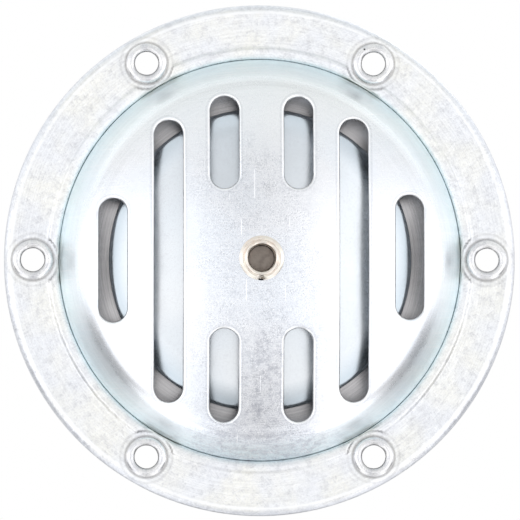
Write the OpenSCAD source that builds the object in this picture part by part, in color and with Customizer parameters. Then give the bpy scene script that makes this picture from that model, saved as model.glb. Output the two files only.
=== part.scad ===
// Electric disc horn for a vehicle, front with a slotted dome grille.
// Inside each module x is right, y is up and z points forward, out of the grille.
// Every height is counted from the bracket seat on the rear stud, which is z = 0.

/* [Clamping ring] */
// Outer diameter over the turned-back skirt
ring_d = 100; // [99:0.5:110]
// Sheet thickness of the ring
ring_t = 1.0; // [0.8:0.1:1.2]
// Depth of the skirt behind the ring's flat face
skirt_depth = 5.0; // [4:0.1:8]
// Outside radius of the bend from the flat face into the skirt
rim_bend_r = 1.5; // [1.4:0.1:1.8]
// Radial gap between the rolled lip and the foot of the dome
mouth_gap = 0.2; // [0.15:0.05:0.4]
// Width of the rolled lip round the mouth
lip_w = 3.0; // [2.8:0.1:3.4]
// Height of the lip's crest above the flat face
lip_rise = 0.6; // [0.4:0.1:0.9]
// Outside radius of the lip's roll down into the mouth
lip_roll_r = 1.35; // [1.3:0.05:1.5]

/* [Rim rivets] */
// Distance from the ring's outer edge to the rivets' centres
rivet_inset = 5.65; // [5.5:0.05:6]
// Number of rivets
rivet_count = 6; // [4:1:8]
// Through bore of each hollow rivet
rivet_bore_d = 4.5; // [4:0.1:4.8]
// Wall of the rivet's shank
rivet_wall = 0.7; // [0.5:0.05:0.8]
// Diameter of the rolled head
rivet_head_d = 8.4; // [8:0.1:9]
// Height of the rolled head
rivet_head_h = 1.2; // [0.8:0.1:1.6]
// Diameter of the rolled tail behind the flange
rivet_tail_d = 7.4; // [7:0.1:7.6]
// Height of the rolled tail
rivet_tail_h = 1.0; // [0.6:0.1:1.4]
// Diameter of the spot round each rivet where the lip is pressed flat
spot_d = 10; // [9:0.1:10.6]

/* [Grille] */
// Sheet thickness of the grille
grille_t = 0.9; // [0.7:0.1:1.1]
// Distance from the ring's outer edge to the dome's foot
foot_inset = 10.9; // [10.8:0.05:12]
// Height of the dome's upright foot, from its flange to the sloping wall
foot_h = 1.35; // [1:0.05:1.6]
// Height of the dome's centre pad above its own flange
dome_rise = 12.5; // [11:0.1:14]
// Spherical radius of the dome's crown
crown_r = 120; // [100:1:160]
// Radius of the shoulder between crown and wall
shoulder_r = 7; // [5:0.5:8]
// Slope of the dome's wall, in degrees from the flange
wall_angle = 54; // [52:1:60]
// Diameter of the flat pad that the centre bush sits on
pad_d = 10; // [9.5:0.1:11]

/* [Slots] */
// Width of every slot
slot_w = 5.6; // [5:0.1:6]
// Distance from the ends of the long slots to the level of the dome's foot
long_slot_margin = 11.75; // [10.75:0.05:14]
// Distance of the long slots from the middle line
long_slot_x = 18.0; // [17:0.1:19]
// Length of the four short slots
short_slot_l = 17.9; // [15:0.1:19]
// Distance of the short slots from the upright middle line
short_slot_x = 7.2; // [6.8:0.1:8]
// Distance from the outer ends of the short slots to the dome's foot
short_slot_margin = 7.65; // [7:0.05:9]
// Length of the two side slots
side_slot_l = 24.0; // [20:0.1:25]
// Distance from the middle of the side slots to the dome's foot
side_slot_inset = 10.3; // [10.05:0.05:11.5]

/* [Centre bush] */
// Bore of the bush
bush_bore_d = 5.1; // [4.5:0.1:5.4]
// Wall of the bush
bush_wall = 0.75; // [0.5:0.05:0.9]
// Diameter of the flange on the grille's face
bush_flange_d = 8.7; // [8.2:0.1:9.2]
// Thickness of that flange
bush_flange_t = 0.7; // [0.5:0.1:1]
// Height of the neck in front of the flange
bush_neck_h = 1.0; // [0.6:0.1:1.5]
// Height of the tail rolled over behind the grille
bush_tail_h = 0.9; // [0.6:0.1:1.2]

/* [Diaphragm] */
// Sheet thickness of the diaphragm
diaphragm_t = 0.4; // [0.3:0.05:0.5]
// How far the clamped hub stands forward of the rim
diaphragm_rise = 1.2; // [0.8:0.1:1.6]
// How far the flat hub reaches past the armature's boss
hub_margin = 2; // [1:0.5:4]
// Thickness of each gasket
gasket_t = 0.5; // [0.3:0.1:0.8]

/* [Housing] */
// Sheet thickness of the stepped housing
housing_t = 1.2; // [1:0.1:1.4]
// Width of the step between the deep cup and the wide dish
step_w = 12.9; // [12.7:0.1:13.5]
// Depth of the cup, up to the shoulder
cup_depth = 9.7; // [9.2:0.1:11]
// Distance from the ring's outer edge to the wall of the wide dish
dish_inset = 10.5; // [10.4:0.05:10.8]
// Depth of the dish, up to the flange
dish_depth = 9.5; // [9.2:0.1:10.5]
// Outside radius of the bends round both floors
floor_bend_r = 3; // [2.5:0.1:3.2]
// Radius of the bend from the cup's wall into the step
step_bend_r = 1.2; // [1:0.1:1.3]
// Radius of the bend from the dish's wall into the flange
flange_bend_r = 1.0; // [0.8:0.1:1]

/* [Magnet] */
// Diameter of the mounting stud's thread
stud_d = 8; // [6:0.5:9]
// Free length of the mounting stud
stud_l = 14; // [10:0.5:25]
// Chamfer at the stud's tip
stud_chamfer = 1.0; // [0.5:0.1:1.2]
// Diameter of the core's neck, which the core nut clamps
neck_d = 10; // [9.5:0.1:11]
// Width of the core nut across its flats
core_nut_af = 17; // [15:0.5:19]
// Height of the core nut
core_nut_h = 4; // [3:0.5:6]
// Diameter of the washer under the core nut
core_washer_d = 21; // [19:0.5:24]
// Thickness of that washer
core_washer_t = 1.0; // [0.8:0.1:2]
// Diameter of the magnet core
core_d = 13; // [12:0.5:15]
// Thickness of the yoke's strip
yoke_t = 3; // [2:0.1:3]
// Width of the yoke's strip
yoke_w = 16; // [12:0.5:17]
// Clearance between the yoke's legs and the wall of the cup
yoke_gap = 3.4; // [2.4:0.1:4]
// Air gap between the core and the armature at rest
air_gap = 0.9; // [0.85:0.05:1.2]

/* [Coil] */
// Wall of the bobbin's tube and flanges
bobbin_t = 1.0; // [0.8:0.1:1.2]
// Clearance between the bobbin's flanges and the yoke's legs
coil_gap = 1.2; // [0.8:0.1:2]
// How far the winding stays below the edge of the flanges
winding_drop = 0.5; // [0.3:0.1:1.5]
// How far the bobbin ends below the core's face
bobbin_drop = 0.8; // [0.6:0.1:1.5]

/* [Armature] */
// How far the armature disc reaches past the yoke's legs
armature_lap = 0.8; // [0.4:0.1:1]
// Thickness of the armature disc
armature_t = 3.9; // [3:0.1:4.5]
// Diameter of the boss that the diaphragm seats on
boss_d = 20; // [16:0.5:21]
// Height of that boss
boss_h = 1.1; // [0.8:0.1:1.5]
// Diameter of the threaded stem
stem_d = 6; // [5:0.5:6]
// Length of the stem in front of the stem nut
stem_tip_l = 0.6; // [0.5:0.1:1.5]
// Gap between the stem's tip and the tail of the dome's bush
stem_gap = 0.8; // [0.5:0.1:2]

/* [Tone disc] */
// Distance from the tone disc's edge to the dome's foot
tone_disc_margin = 9.6; // [8.5:0.05:11]
// Sheet thickness of the tone disc
tone_disc_t = 1.0; // [0.8:0.1:1.5]
// How far the tone disc's edge falls behind its hub
tone_disc_drop = 1.8; // [1:0.1:2.2]
// Diameter of the flat hub of the tone disc
tone_hub_d = 18; // [16:0.5:22]
// Diameter of the washers on both sides of the tone disc
tone_washer_d = 15; // [12:0.5:16]
// Thickness of the washer in front of the tone disc
tone_washer_t = 0.8; // [0.6:0.1:1]
// Width of the stem nut across its flats
stem_nut_af = 10; // [9:0.5:11]
// Height of the stem nut
stem_nut_h = 3.2; // [2.5:0.1:3.4]

/* [Contact breaker] */
// Distance from the leaf's clamped edge to the wall of the dish
leaf_root_inset = 10; // [9.8:0.1:10.2]
// Length of the clamped stack along the leaf
stack_l = 6; // [5:0.1:6]
// Width of the clamped stack
stack_w = 10; // [9:0.1:10.5]
// Distance from the push pin to the edge of the armature
pin_inset = 2.3; // [2.2:0.1:2.7]
// Width of the leaf spring
leaf_w = 4.0; // [3.5:0.1:4.5]
// Thickness of the leaf spring
leaf_t = 0.4; // [0.3:0.05:0.5]
// Thickness of the insulator under the leaf
base_insulator_t = 1.5; // [1.3:0.1:2]
// Height of each contact
contact_h = 1.2; // [1:0.05:1.3]
// Diameter of the contacts
contact_d = 2.8; // [2.4:0.1:3]
// Distance from the leaf's clamped edge to the contacts
contact_reach = 4.5; // [4.2:0.1:4.6]
// Thickness of the carrier of the fixed contact
carrier_t = 1.0; // [0.8:0.05:1.1]
// Width of the carrier
carrier_w = 5; // [4.5:0.1:6]
// Thickness of the insulator and of the clamp plate on top
clamp_t = 1.0; // [0.8:0.1:1.1]
// Diameter of the two stack rivets
stack_rivet_d = 1.8; // [1.5:0.1:2]
// Distance between the two stack rivets
stack_rivet_pitch = 6; // [5.6:0.1:6.2]
// Diameter of the push pin
pin_d = 2.5; // [2:0.1:2.6]
// Rest gap between the push pin and the armature
pin_gap = 0.1; // [0.08:0.01:0.2]

/* [Adjuster] */
// Diameter of the adjusting screw
adjuster_d = 4; // [3:0.5:4]
// Sideways distance of the adjusting screw from the middle line
adjuster_x = 9.0; // [8.8:0.1:9.5]
// Distance of the adjusting screw outward of the leaf's clamped edge
adjuster_offset = 1.3; // [1:0.1:1.5]
// How far the adjusting screw stands out behind the housing
adjuster_out = 6.5; // [5:0.5:9]
// Diameter of the threaded insert's flange
insert_d = 6.6; // [6:0.1:7]
// Width of the lock nut across its flats
lock_nut_af = 7; // [6:0.5:7]
// Height of the lock nut
lock_nut_h = 2.6; // [2:0.1:3.2]

/* [Terminals] */
// Distance from the terminals to the wall of the dish
terminal_inset = 7.9; // [7.8:0.1:8.1]
// Distance between the two terminals
terminal_pitch = 13; // [11:0.5:14]
// Width of each blade
blade_w = 6.3; // [4.8:0.1:6.3]
// Thickness of each blade
blade_t = 0.8; // [0.5:0.1:1]
// Free length of each blade behind the terminal plate
blade_l = 8.0; // [6:0.5:9]
// Length of the insulating terminal plate
terminal_plate_l = 24; // [22:0.5:24]
// Width of the terminal plates
terminal_plate_w = 7.0; // [6.4:0.1:7.2]
// Length of the inner terminal plate
inner_plate_l = 19; // [18:0.5:19]
// Thickness of the terminal plates
terminal_plate_t = 1.5; // [1:0.1:2]
// Diameter of the terminal rivets
terminal_rivet_d = 2.6; // [2:0.1:3]
// Height of the terminal rivets' heads
terminal_head_h = 0.7; // [0.5:0.1:0.9]

/* [Wiring] */
// Diameter of the link wire over its sleeve
wire_d = 1.2; // [0.8:0.1:1.4]
// Diameter of the coil's two leads
lead_d = 0.8; // [0.6:0.1:1]
// Diameter of the spark resistor
resistor_d = 4.2; // [3:0.1:4.4]
// Length of the spark resistor
resistor_l = 11; // [8:0.5:12]

/* [Hidden] */
$fn = 96;

// Clearance of a shank in its hole, and of a piece in its seat
fit_gap = 0.05;
// Steps in each bend of a sheet
bend_steps = 8;
// Steps along the dome's crown
crown_steps = 16;
// A cut runs this far past the face that it opens
past = 1;

// Heights of the housing, counted forward from the bracket seat
z_housing = core_nut_h + core_washer_t;
z_cup_floor = z_housing + housing_t;
z_dish = z_housing + cup_depth;
z_dish_floor = z_dish + housing_t;
z_flange = z_dish + dish_depth;

// Heights of the clamped rim, from the housing's flange to the ring's flat face
z_rear_gasket = z_flange + housing_t;
z_diaphragm = z_rear_gasket + gasket_t;
z_front_gasket = z_diaphragm + diaphragm_t;
z_grille = z_front_gasket + gasket_t;
z_ring = z_grille + grille_t;
z_face = z_ring + ring_t;

// Heights of the armature and what it carries
z_hub = z_diaphragm + diaphragm_rise;
z_boss = z_hub - boss_h;
z_armature = z_boss - armature_t;
z_spacer = z_hub + diaphragm_t;
z_stem_tip = z_ring + dome_rise - grille_t - bush_tail_h - stem_gap;
z_stem_nut = z_stem_tip - stem_tip_l - stem_nut_h;
z_tone_washer = z_stem_nut - tone_washer_t;
z_tone = z_tone_washer - tone_disc_t;

// Heights of the magnet and the coil
z_core = z_armature - air_gap;
z_yoke_top = z_cup_floor + yoke_t;
z_bobbin = z_yoke_top + fit_gap;
z_bobbin_top = z_core - bobbin_drop;

// Heights of the contact breaker
z_leaf = z_dish_floor + base_insulator_t;
z_leaf_top = z_leaf + leaf_t;
z_carrier = z_leaf_top + 2 * contact_h;
z_top_insulator = z_carrier + carrier_t;
z_clamp = z_top_insulator + clamp_t;
z_clamp_top = z_clamp + clamp_t;

// Height of the inner heads of the terminal rivets
z_inner_rivet = z_dish_floor + terminal_plate_t + terminal_head_h;

// Radii that several pieces share
ring_r = ring_d / 2;
flange_r = ring_r - rim_bend_r - fit_gap;
foot_r = ring_r - foot_inset;
mouth_r = foot_r + mouth_gap;
foot_bend_r = mouth_gap - fit_gap;
wall_bend_r = grille_t + 0.1;
dish_r = ring_r - dish_inset;
cup_r = dish_r - step_w;
gasket_in_r = dish_r + flange_bend_r;
rivet_circle_r = ring_r - rivet_inset;
rivet_shank_r = rivet_bore_d / 2 + rivet_wall;
yoke_r = cup_r - housing_t - yoke_gap;
bobbin_r = yoke_r - yoke_t - coil_gap;
winding_r = bobbin_r - winding_drop;
armature_r = yoke_r + armature_lap;
hub_r = boss_d / 2 + hub_margin;
tone_disc_r = foot_r - tone_disc_margin;
bush_shank_r = bush_bore_d / 2 + bush_wall;
stem_r = stem_d / 2;
neck_r = neck_d / 2;
core_r = core_d / 2;

// Places on the housing's step, counted from the horn's axis
leaf_root_y = dish_r - leaf_root_inset;
leaf_reach = leaf_root_y - armature_r + pin_inset;
adjuster_y = leaf_root_y + adjuster_offset;
adjuster_arm_w = adjuster_d + 1;
terminal_y = dish_r - terminal_inset;

// The slots' sizes and places, counted from the horn's axis
long_slot_l = 2 * (foot_r - long_slot_margin);
short_slot_y = foot_r - short_slot_margin - short_slot_l / 2;
side_slot_x = foot_r - side_slot_inset;

// The dome's section: a spherical crown that a shoulder joins to the sloping wall,
// which stands on a low upright foot
crown_axis = [0, z_ring + dome_rise - sqrt(pow(crown_r, 2) - pow(pad_d / 2, 2))];
foot_top = [foot_r, z_ring + foot_h];
wall_dir = [-cos(wall_angle), sin(wall_angle)];
wall_in = [-sin(wall_angle), -cos(wall_angle)];
shoulder_foot = foot_top + wall_in * shoulder_r - crown_axis;
shoulder_along = -shoulder_foot * wall_dir
    + sqrt(pow(shoulder_foot * wall_dir, 2) - shoulder_foot * shoulder_foot
        + pow(crown_r - shoulder_r, 2));
shoulder_axis = foot_top + wall_in * shoulder_r + wall_dir * shoulder_along;
shoulder_from_axis = shoulder_axis - crown_axis;
crown_edge_angle = atan2(shoulder_from_axis[1], shoulder_from_axis[0]);
crown_pad_angle = acos(pad_d / 2 / crown_r);
wall_top = foot_top + wall_dir * shoulder_along;

// Vector v at length one
function unit(v) = v / norm(v);

// Direction to the left of the step from a to b
function left(a, b) = let (u = unit(b - a)) [-u[1], u[0]];

// Vector v turned by an angle
function turned(v, angle) = [
    v[0] * cos(angle) - v[1] * sin(angle),
    v[0] * sin(angle) + v[1] * cos(angle)
];

// Points of the rounded corner at b, on the way from a to c
function corner(a, b, c, r) =
    let (
        back = unit(a - b),
        on = unit(c - b),
        half = acos(back * on) / 2,
        centre = b + unit(back + on) * r / sin(half),
        start = b + back * r / tan(half) - centre,
        sweep = (back[0] * on[1] - back[1] * on[0] < 0 ? 1 : -1) * (180 - 2 * half)
    )
    [for (i = [0 : bend_steps]) centre + turned(start, sweep * i / bend_steps)];

// Open path through corners [x, y, radius], with each inner corner rounded
function bent(c) = [
    for (i = [0 : len(c) - 1])
        each (i == 0 || i == len(c) - 1 || c[i][2] == 0
            ? [[c[i][0], c[i][1]]]
            : corner([c[i - 1][0], c[i - 1][1]], [c[i][0], c[i][1]],
                [c[i + 1][0], c[i + 1][1]], c[i][2]))
];

// Closed outline through corners [x, y, radius]
function rounded(c) =
    let (n = len(c))
    [
        for (i = [0 : n - 1])
            let (before = c[(i + n - 1) % n], after = c[(i + 1) % n])
            each (c[i][2] == 0
                ? [[c[i][0], c[i][1]]]
                : corner([before[0], before[1]], [c[i][0], c[i][1]],
                    [after[0], after[1]], c[i][2]))
    ];

// Points on an arc
function arc(centre, r, from, to, steps) = [
    for (i = [0 : steps])
        let (angle = from + (to - from) * i / steps)
        centre + r * [cos(angle), sin(angle)]
];

// Path without points that repeat the one before
function distinct(p) = [
    for (i = [0 : len(p) - 1])
        if (i == 0 || norm(p[i] - p[max(i - 1, 0)]) > 0.001) p[i]
];

// Path moved to its left by t
function beside(p, t) =
    let (last = len(p) - 1)
    [
        for (i = [0 : last])
            let (
                before = left(p[max(i - 1, 0)], p[max(i, 1)]),
                after = left(p[min(i, last - 1)], p[min(i + 1, last)]),
                mid = unit(before + after)
            )
            p[i] + mid * t / (mid * after)
    ];

function reversed(p) = [for (i = [len(p) - 1 : -1 : 0]) p[i]];

// Section of a sheet of thickness t whose one face follows the path
function sheet(path, t) =
    let (p = distinct(path))
    concat(p, reversed(beside(p, t)));

// Stands the local frame up: z forward becomes the front of the horn
module upright() {
    rotate([90, 0, 0]) children();
}

// Round piece turned about the horn's axis from a section in radius and height
module turned_piece(outline) {
    rotate_extrude() polygon(outline);
}

// Flat ring or washer
module washer(outer_d, inner_d, z, t) {
    translate([0, 0, z]) difference() {
        cylinder(d = outer_d, h = t);
        translate([0, 0, -past]) cylinder(d = inner_d, h = t + 2 * past);
    }
}

// Hexagonal nut with chamfered corners
module hex_nut(af, bore_d, h) {
    corner_r = af / 2 / cos(30);
    chamfer = 0.12 * af;
    difference() {
        intersection() {
            cylinder(r = corner_r, h = h, $fn = 6);
            turned_piece([
                [0, 0], [corner_r - chamfer / 2, 0], [corner_r + chamfer / 2, chamfer / 2],
                [corner_r + chamfer / 2, h - chamfer / 2], [corner_r - chamfer / 2, h], [0, h]
            ]);
        }
        translate([0, 0, -past]) cylinder(d = bore_d, h = h + 2 * past);
    }
}

// Outline of a slot with full-round ends
module slot_outline(w, l) {
    square([w, l - w], center = true);
    for (end = [-1, 1]) translate([0, end * (l - w) / 2]) circle(d = w);
}

// Copies at every rivet
module at_rivets() {
    for (i = [0 : rivet_count - 1])
        rotate(i * 360 / rivet_count) translate([rivet_circle_r, 0, 0]) children();
}

// Holes through the clamped rim, one for each rivet
module rivet_holes() {
    at_rivets() translate([0, 0, z_flange - past])
        cylinder(r = rivet_shank_r + fit_gap, h = z_face - z_flange + 2 * past);
}

// Round tube along a route, with eight sides
module wire(route, d) {
    sides = 8;
    last = len(route) - 1;
    way = [
        for (i = [0 : last])
            unit(unit(route[min(i + 1, last)] - route[min(i, last - 1)])
                + unit(route[max(i, 1)] - route[max(i - 1, 0)]))
    ];
    points = [
        for (i = [0 : last])
            let (
                guide = abs(way[i][2]) < 0.9 ? [0, 0, 1] : [1, 0, 0],
                a = unit(cross(way[i], guide)),
                b = cross(way[i], a)
            )
            for (k = [0 : sides - 1])
                route[i] + d / 2 * (cos(k * 360 / sides) * a + sin(k * 360 / sides) * b)
    ];
    skin = [
        for (i = [0 : last - 1], k = [0 : sides - 1])
            let (n = (k + 1) % sides)
            [i * sides + k, (i + 1) * sides + k, (i + 1) * sides + n, i * sides + n]
    ];
    ends = [
        [for (k = [0 : sides - 1]) k],
        [for (k = [sides - 1 : -1 : 0]) last * sides + k]
    ];
    polyhedron(points, concat(skin, ends));
}

// Clamping ring: flat rim, turned-back skirt, and a lip rolled into the mouth
module front_ring() {
    lip_r = mouth_r + lip_w;
    lip_run = lip_rise * 1.6;
    section = bent([
        [ring_r, z_face - skirt_depth, 0],
        [ring_r, z_face, rim_bend_r],
        [lip_r, z_face, 0.8],
        [lip_r - lip_run, z_face + lip_rise, ring_t + 0.2],
        [mouth_r, z_face + lip_rise, lip_roll_r],
        [mouth_r, z_ring + fit_gap, 0]
    ]);
    color("gainsboro") upright() difference() {
        union() {
            difference() {
                turned_piece(sheet(section, ring_t));
                rivet_spots(z_ring - past, z_face + lip_rise + past);
            }
            intersection() {
                rivet_spots(z_ring, z_face);
                washer(2 * ring_r, 2 * mouth_r, z_ring, ring_t);
            }
        }
        rivet_holes();
    }
}

// The part of each rivet's spot that reaches over the rolled lip
module rivet_spots(from, to) {
    intersection() {
        at_rivets() translate([0, 0, from]) cylinder(d = spot_d, h = to - from);
        translate([0, 0, from]) cylinder(r = mouth_r + lip_w + 0.5, h = to - from);
    }
}

// Hollow rivets with a rolled head in front and a rolled tail behind the flange
module rim_rivets() {
    bore_r = rivet_bore_d / 2;
    head = z_face + rivet_head_h;
    tail = z_flange - rivet_tail_h;
    outline = rounded([
        [bore_r, tail, rivet_wall],
        [rivet_tail_d / 2, tail, 0.6 * rivet_tail_h],
        [rivet_tail_d / 2, z_flange, 0],
        [rivet_shank_r, z_flange, 0],
        [rivet_shank_r, z_face, 0],
        [rivet_head_d / 2, z_face, 0],
        [rivet_head_d / 2, head, 0.8 * rivet_head_h],
        [bore_r, head, rivet_wall]
    ]);
    color("silver") upright() at_rivets() turned_piece(outline);
}

// Domed grille drawn from one sheet, with its flange and three kinds of slot
module grille() {
    foot = concat(
        corner([flange_r, z_ring], [foot_r, z_ring], foot_top, foot_bend_r),
        corner([foot_r, z_ring], foot_top, wall_top, wall_bend_r)
    );
    shoulder = arc(shoulder_axis, shoulder_r, 90 - wall_angle, crown_edge_angle, bend_steps);
    crown = arc(crown_axis, crown_r, crown_edge_angle, crown_pad_angle, crown_steps);
    section = concat(
        [[flange_r, z_ring]], foot, shoulder, crown,
        [[bush_shank_r + fit_gap, z_ring + dome_rise]]
    );
    color("lightsteelblue") upright() difference() {
        turned_piece(sheet(section, grille_t));
        translate([0, 0, z_ring]) linear_extrude(dome_rise + past) {
            for (side = [-1, 1]) {
                translate([side * long_slot_x, 0]) slot_outline(slot_w, long_slot_l);
                translate([side * side_slot_x, 0]) slot_outline(slot_w, side_slot_l);
                for (end = [-1, 1])
                    translate([side * short_slot_x, end * short_slot_y])
                        slot_outline(slot_w, short_slot_l);
            }
        }
        rivet_holes();
    }
}

// Brass bush riveted into the middle of the dome
module centre_bush() {
    bore_r = bush_bore_d / 2;
    pad = z_ring + dome_rise;
    neck = pad + bush_flange_t + bush_neck_h;
    tail = pad - grille_t - bush_tail_h;
    flange_r = bush_flange_d / 2;
    color("tan") upright() turned_piece(rounded([
        [bore_r, tail, bush_wall / 2],
        [flange_r - bush_wall / 2, tail, bush_tail_h / 2],
        [flange_r - bush_wall / 2, pad - grille_t, 0],
        [bush_shank_r, pad - grille_t, 0],
        [bush_shank_r, pad, 0],
        [flange_r, pad, 0],
        [flange_r, pad + bush_flange_t, bush_flange_t / 2],
        [bush_shank_r, pad + bush_flange_t, 0],
        [bush_shank_r, neck, bush_wall / 3],
        [bore_r, neck, bush_wall / 3]
    ]));
}

// Rim gasket at height z
module gasket(z) {
    difference() {
        washer(2 * flange_r, 2 * gasket_in_r, z, gasket_t);
        rivet_holes();
    }
}

module front_gasket() {
    color("peru") upright() gasket(z_front_gasket);
}

module rear_gasket() {
    color("peru") upright() gasket(z_rear_gasket);
}

// Thin steel diaphragm, dished forward to a flat hub
module diaphragm() {
    rim_r = gasket_in_r - 1.5;
    section = bent([
        [stem_r + fit_gap, z_hub, 0],
        [hub_r, z_hub, 6],
        [rim_r, z_diaphragm, 4],
        [flange_r, z_diaphragm, 0]
    ]);
    color("dimgray") upright() difference() {
        turned_piece(sheet(section, diaphragm_t));
        rivet_holes();
    }
}

// Stepped housing: deep cup for the magnet, wide dish for the breaker, rim flange
module rear_housing() {
    section = bent([
        [neck_r + fit_gap, z_housing, 0],
        [cup_r, z_housing, floor_bend_r],
        [cup_r, z_dish, step_bend_r],
        [dish_r, z_dish, floor_bend_r],
        [dish_r, z_flange, flange_bend_r],
        [flange_r, z_flange, 0]
    ]);
    color("silver") upright() difference() {
        turned_piece(sheet(section, housing_t));
        rivet_holes();
        at_stack_rivets(z_dish - past, stack_rivet_d + 2 * fit_gap, housing_t + 2 * past);
        at_adjuster() translate([0, 0, z_dish - past])
            cylinder(d = insert_neck_d() + 2 * fit_gap, h = housing_t + 2 * past);
        at_terminals() translate([0, 0, z_dish - past])
            cylinder(d = terminal_collar_d() + 2 * fit_gap, h = housing_t + 2 * past);
    }
}

// Soft-iron armature disc with a boss for the diaphragm
module armature() {
    edge = 0.6;
    color("slategray") upright() turned_piece([
        [stem_r + fit_gap, z_armature], [armature_r - edge, z_armature],
        [armature_r, z_armature + edge], [armature_r, z_boss - edge],
        [armature_r - edge, z_boss], [boss_d / 2, z_boss], [boss_d / 2, z_hub],
        [stem_r + fit_gap, z_hub]
    ]);
}

// Threaded stem that carries the tone disc
module armature_stem() {
    tip = 0.6;
    color("darkgray") upright() turned_piece([
        [0, z_armature], [stem_r, z_armature], [stem_r, z_stem_tip - tip],
        [stem_r - tip, z_stem_tip], [0, z_stem_tip]
    ]);
}

module spacer_washer() {
    color("silver") upright()
        washer(tone_washer_d, stem_d + 2 * fit_gap, z_spacer, z_tone - z_spacer);
}

// Tone disc: flat hub, and a rim that falls away behind it
module tone_disc() {
    steps = 10;
    fall_r = tone_disc_r - tone_hub_d / 2;
    fall = [
        for (i = [1 : steps])
            [tone_hub_d / 2 + fall_r * i / steps, z_tone - tone_disc_drop * pow(i / steps, 1.2)]
    ];
    section = concat([[stem_r + fit_gap, z_tone], [tone_hub_d / 2, z_tone]], fall);
    color("lightslategray") upright() turned_piece(sheet(section, tone_disc_t));
}

module tone_disc_washer() {
    color("silver") upright()
        washer(tone_washer_d, stem_d + 2 * fit_gap, z_tone_washer, tone_washer_t);
}

module stem_nut() {
    color("gray") upright() translate([0, 0, z_stem_nut])
        hex_nut(stem_nut_af, stem_d + 2 * fit_gap, stem_nut_h);
}

// Magnet core, turned in one piece with its neck and the mounting stud
module magnet_core() {
    edge = 0.5;
    stud_r = stud_d / 2;
    color("slategray") upright() turned_piece([
        [0, -stud_l], [stud_r - stud_chamfer, -stud_l], [stud_r, stud_chamfer - stud_l],
        [stud_r, 0], [neck_r, 0], [neck_r, z_yoke_top], [core_r, z_yoke_top],
        [core_r, z_core - edge], [core_r - edge, z_core], [0, z_core]
    ]);
}

// Yoke: a strip bent up on both sides of the coil
module magnet_yoke() {
    section = bent([
        [-yoke_r, z_core, 0],
        [-yoke_r, z_cup_floor, yoke_t + 1],
        [yoke_r, z_cup_floor, yoke_t + 1],
        [yoke_r, z_core, 0]
    ]);
    color("slategray") upright() difference() {
        rotate([90, 0, 0]) linear_extrude(yoke_w, center = true) polygon(sheet(section, yoke_t));
        cylinder(r = neck_r + fit_gap, h = z_yoke_top + past);
    }
}

module core_washer() {
    color("silver") upright()
        washer(core_washer_d, neck_d + 2 * fit_gap, core_nut_h, core_washer_t);
}

module core_nut() {
    color("silver") upright() hex_nut(core_nut_af, neck_d + 2 * fit_gap, core_nut_h);
}

// Bobbin: a tube between two flanges
module coil_bobbin() {
    in_r = core_r + fit_gap;
    tube_r = in_r + bobbin_t;
    color("maroon") upright() turned_piece([
        [in_r, z_bobbin], [bobbin_r, z_bobbin], [bobbin_r, z_bobbin + bobbin_t],
        [tube_r, z_bobbin + bobbin_t], [tube_r, z_bobbin_top - bobbin_t],
        [bobbin_r, z_bobbin_top - bobbin_t], [bobbin_r, z_bobbin_top], [in_r, z_bobbin_top]
    ]);
}

module coil_winding() {
    low = z_bobbin + bobbin_t + fit_gap;
    high = z_bobbin_top - bobbin_t - fit_gap;
    color("sienna") upright()
        washer(2 * winding_r, core_d + 4 * fit_gap + 2 * bobbin_t, low, high - low);
}

// Flat piece of the clamped stack, with its two rivet holes
module stack_plate(z, t, w) {
    difference() {
        translate([-w / 2, leaf_root_y, z]) cube([w, stack_l, t]);
        at_stack_rivets(z - past, stack_rivet_d + 2 * fit_gap, t + 2 * past);
    }
}

// Round posts at both stack rivets
module at_stack_rivets(z, d, h) {
    for (side = [-1, 1])
        translate([side * stack_rivet_pitch / 2, leaf_root_y + stack_l / 2, z])
            cylinder(d = d, h = h);
}

module base_insulator() {
    color("saddlebrown") upright() stack_plate(z_dish_floor, base_insulator_t, stack_w);
}

// Leaf spring that holds the moving contact and the push pin
module contact_spring() {
    tip_y = leaf_root_y - leaf_reach;
    spigot_d = pin_d / 2 + 2 * fit_gap;
    color("goldenrod") upright() difference() {
        translate([0, 0, z_leaf]) linear_extrude(leaf_t) {
            translate([-stack_w / 2, leaf_root_y]) square([stack_w, stack_l]);
            translate([-leaf_w / 2, tip_y]) square([leaf_w, leaf_reach + stack_l / 2]);
            translate([0, tip_y]) circle(d = leaf_w);
        }
        at_stack_rivets(z_leaf - past, stack_rivet_d + 2 * fit_gap, leaf_t + 2 * past);
        translate([0, tip_y, z_leaf - past]) cylinder(d = spigot_d, h = leaf_t + 2 * past);
    }
}

// Insulating push pin, riveted through the leaf, with a chamfered tip
module push_pin() {
    r = pin_d / 2;
    tip = 0.4;
    top = z_armature - pin_gap;
    color("saddlebrown") upright() translate([0, leaf_root_y - leaf_reach, 0]) turned_piece([
        [0, z_leaf - tip], [r - tip, z_leaf - tip], [r - tip / 2, z_leaf],
        [r / 2, z_leaf], [r / 2, z_leaf_top], [r, z_leaf_top], [r, top - tip],
        [r - tip, top], [0, top]
    ]);
}

module moving_contact() {
    color("silver") upright() translate([0, leaf_root_y - contact_reach, z_leaf_top])
        cylinder(d = contact_d, h = contact_h);
}

// Insulator between the leaf and the carrier, as thick as both contacts
module stack_insulator() {
    color("saddlebrown") upright() stack_plate(z_leaf_top, 2 * contact_h, stack_w);
}

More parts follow.
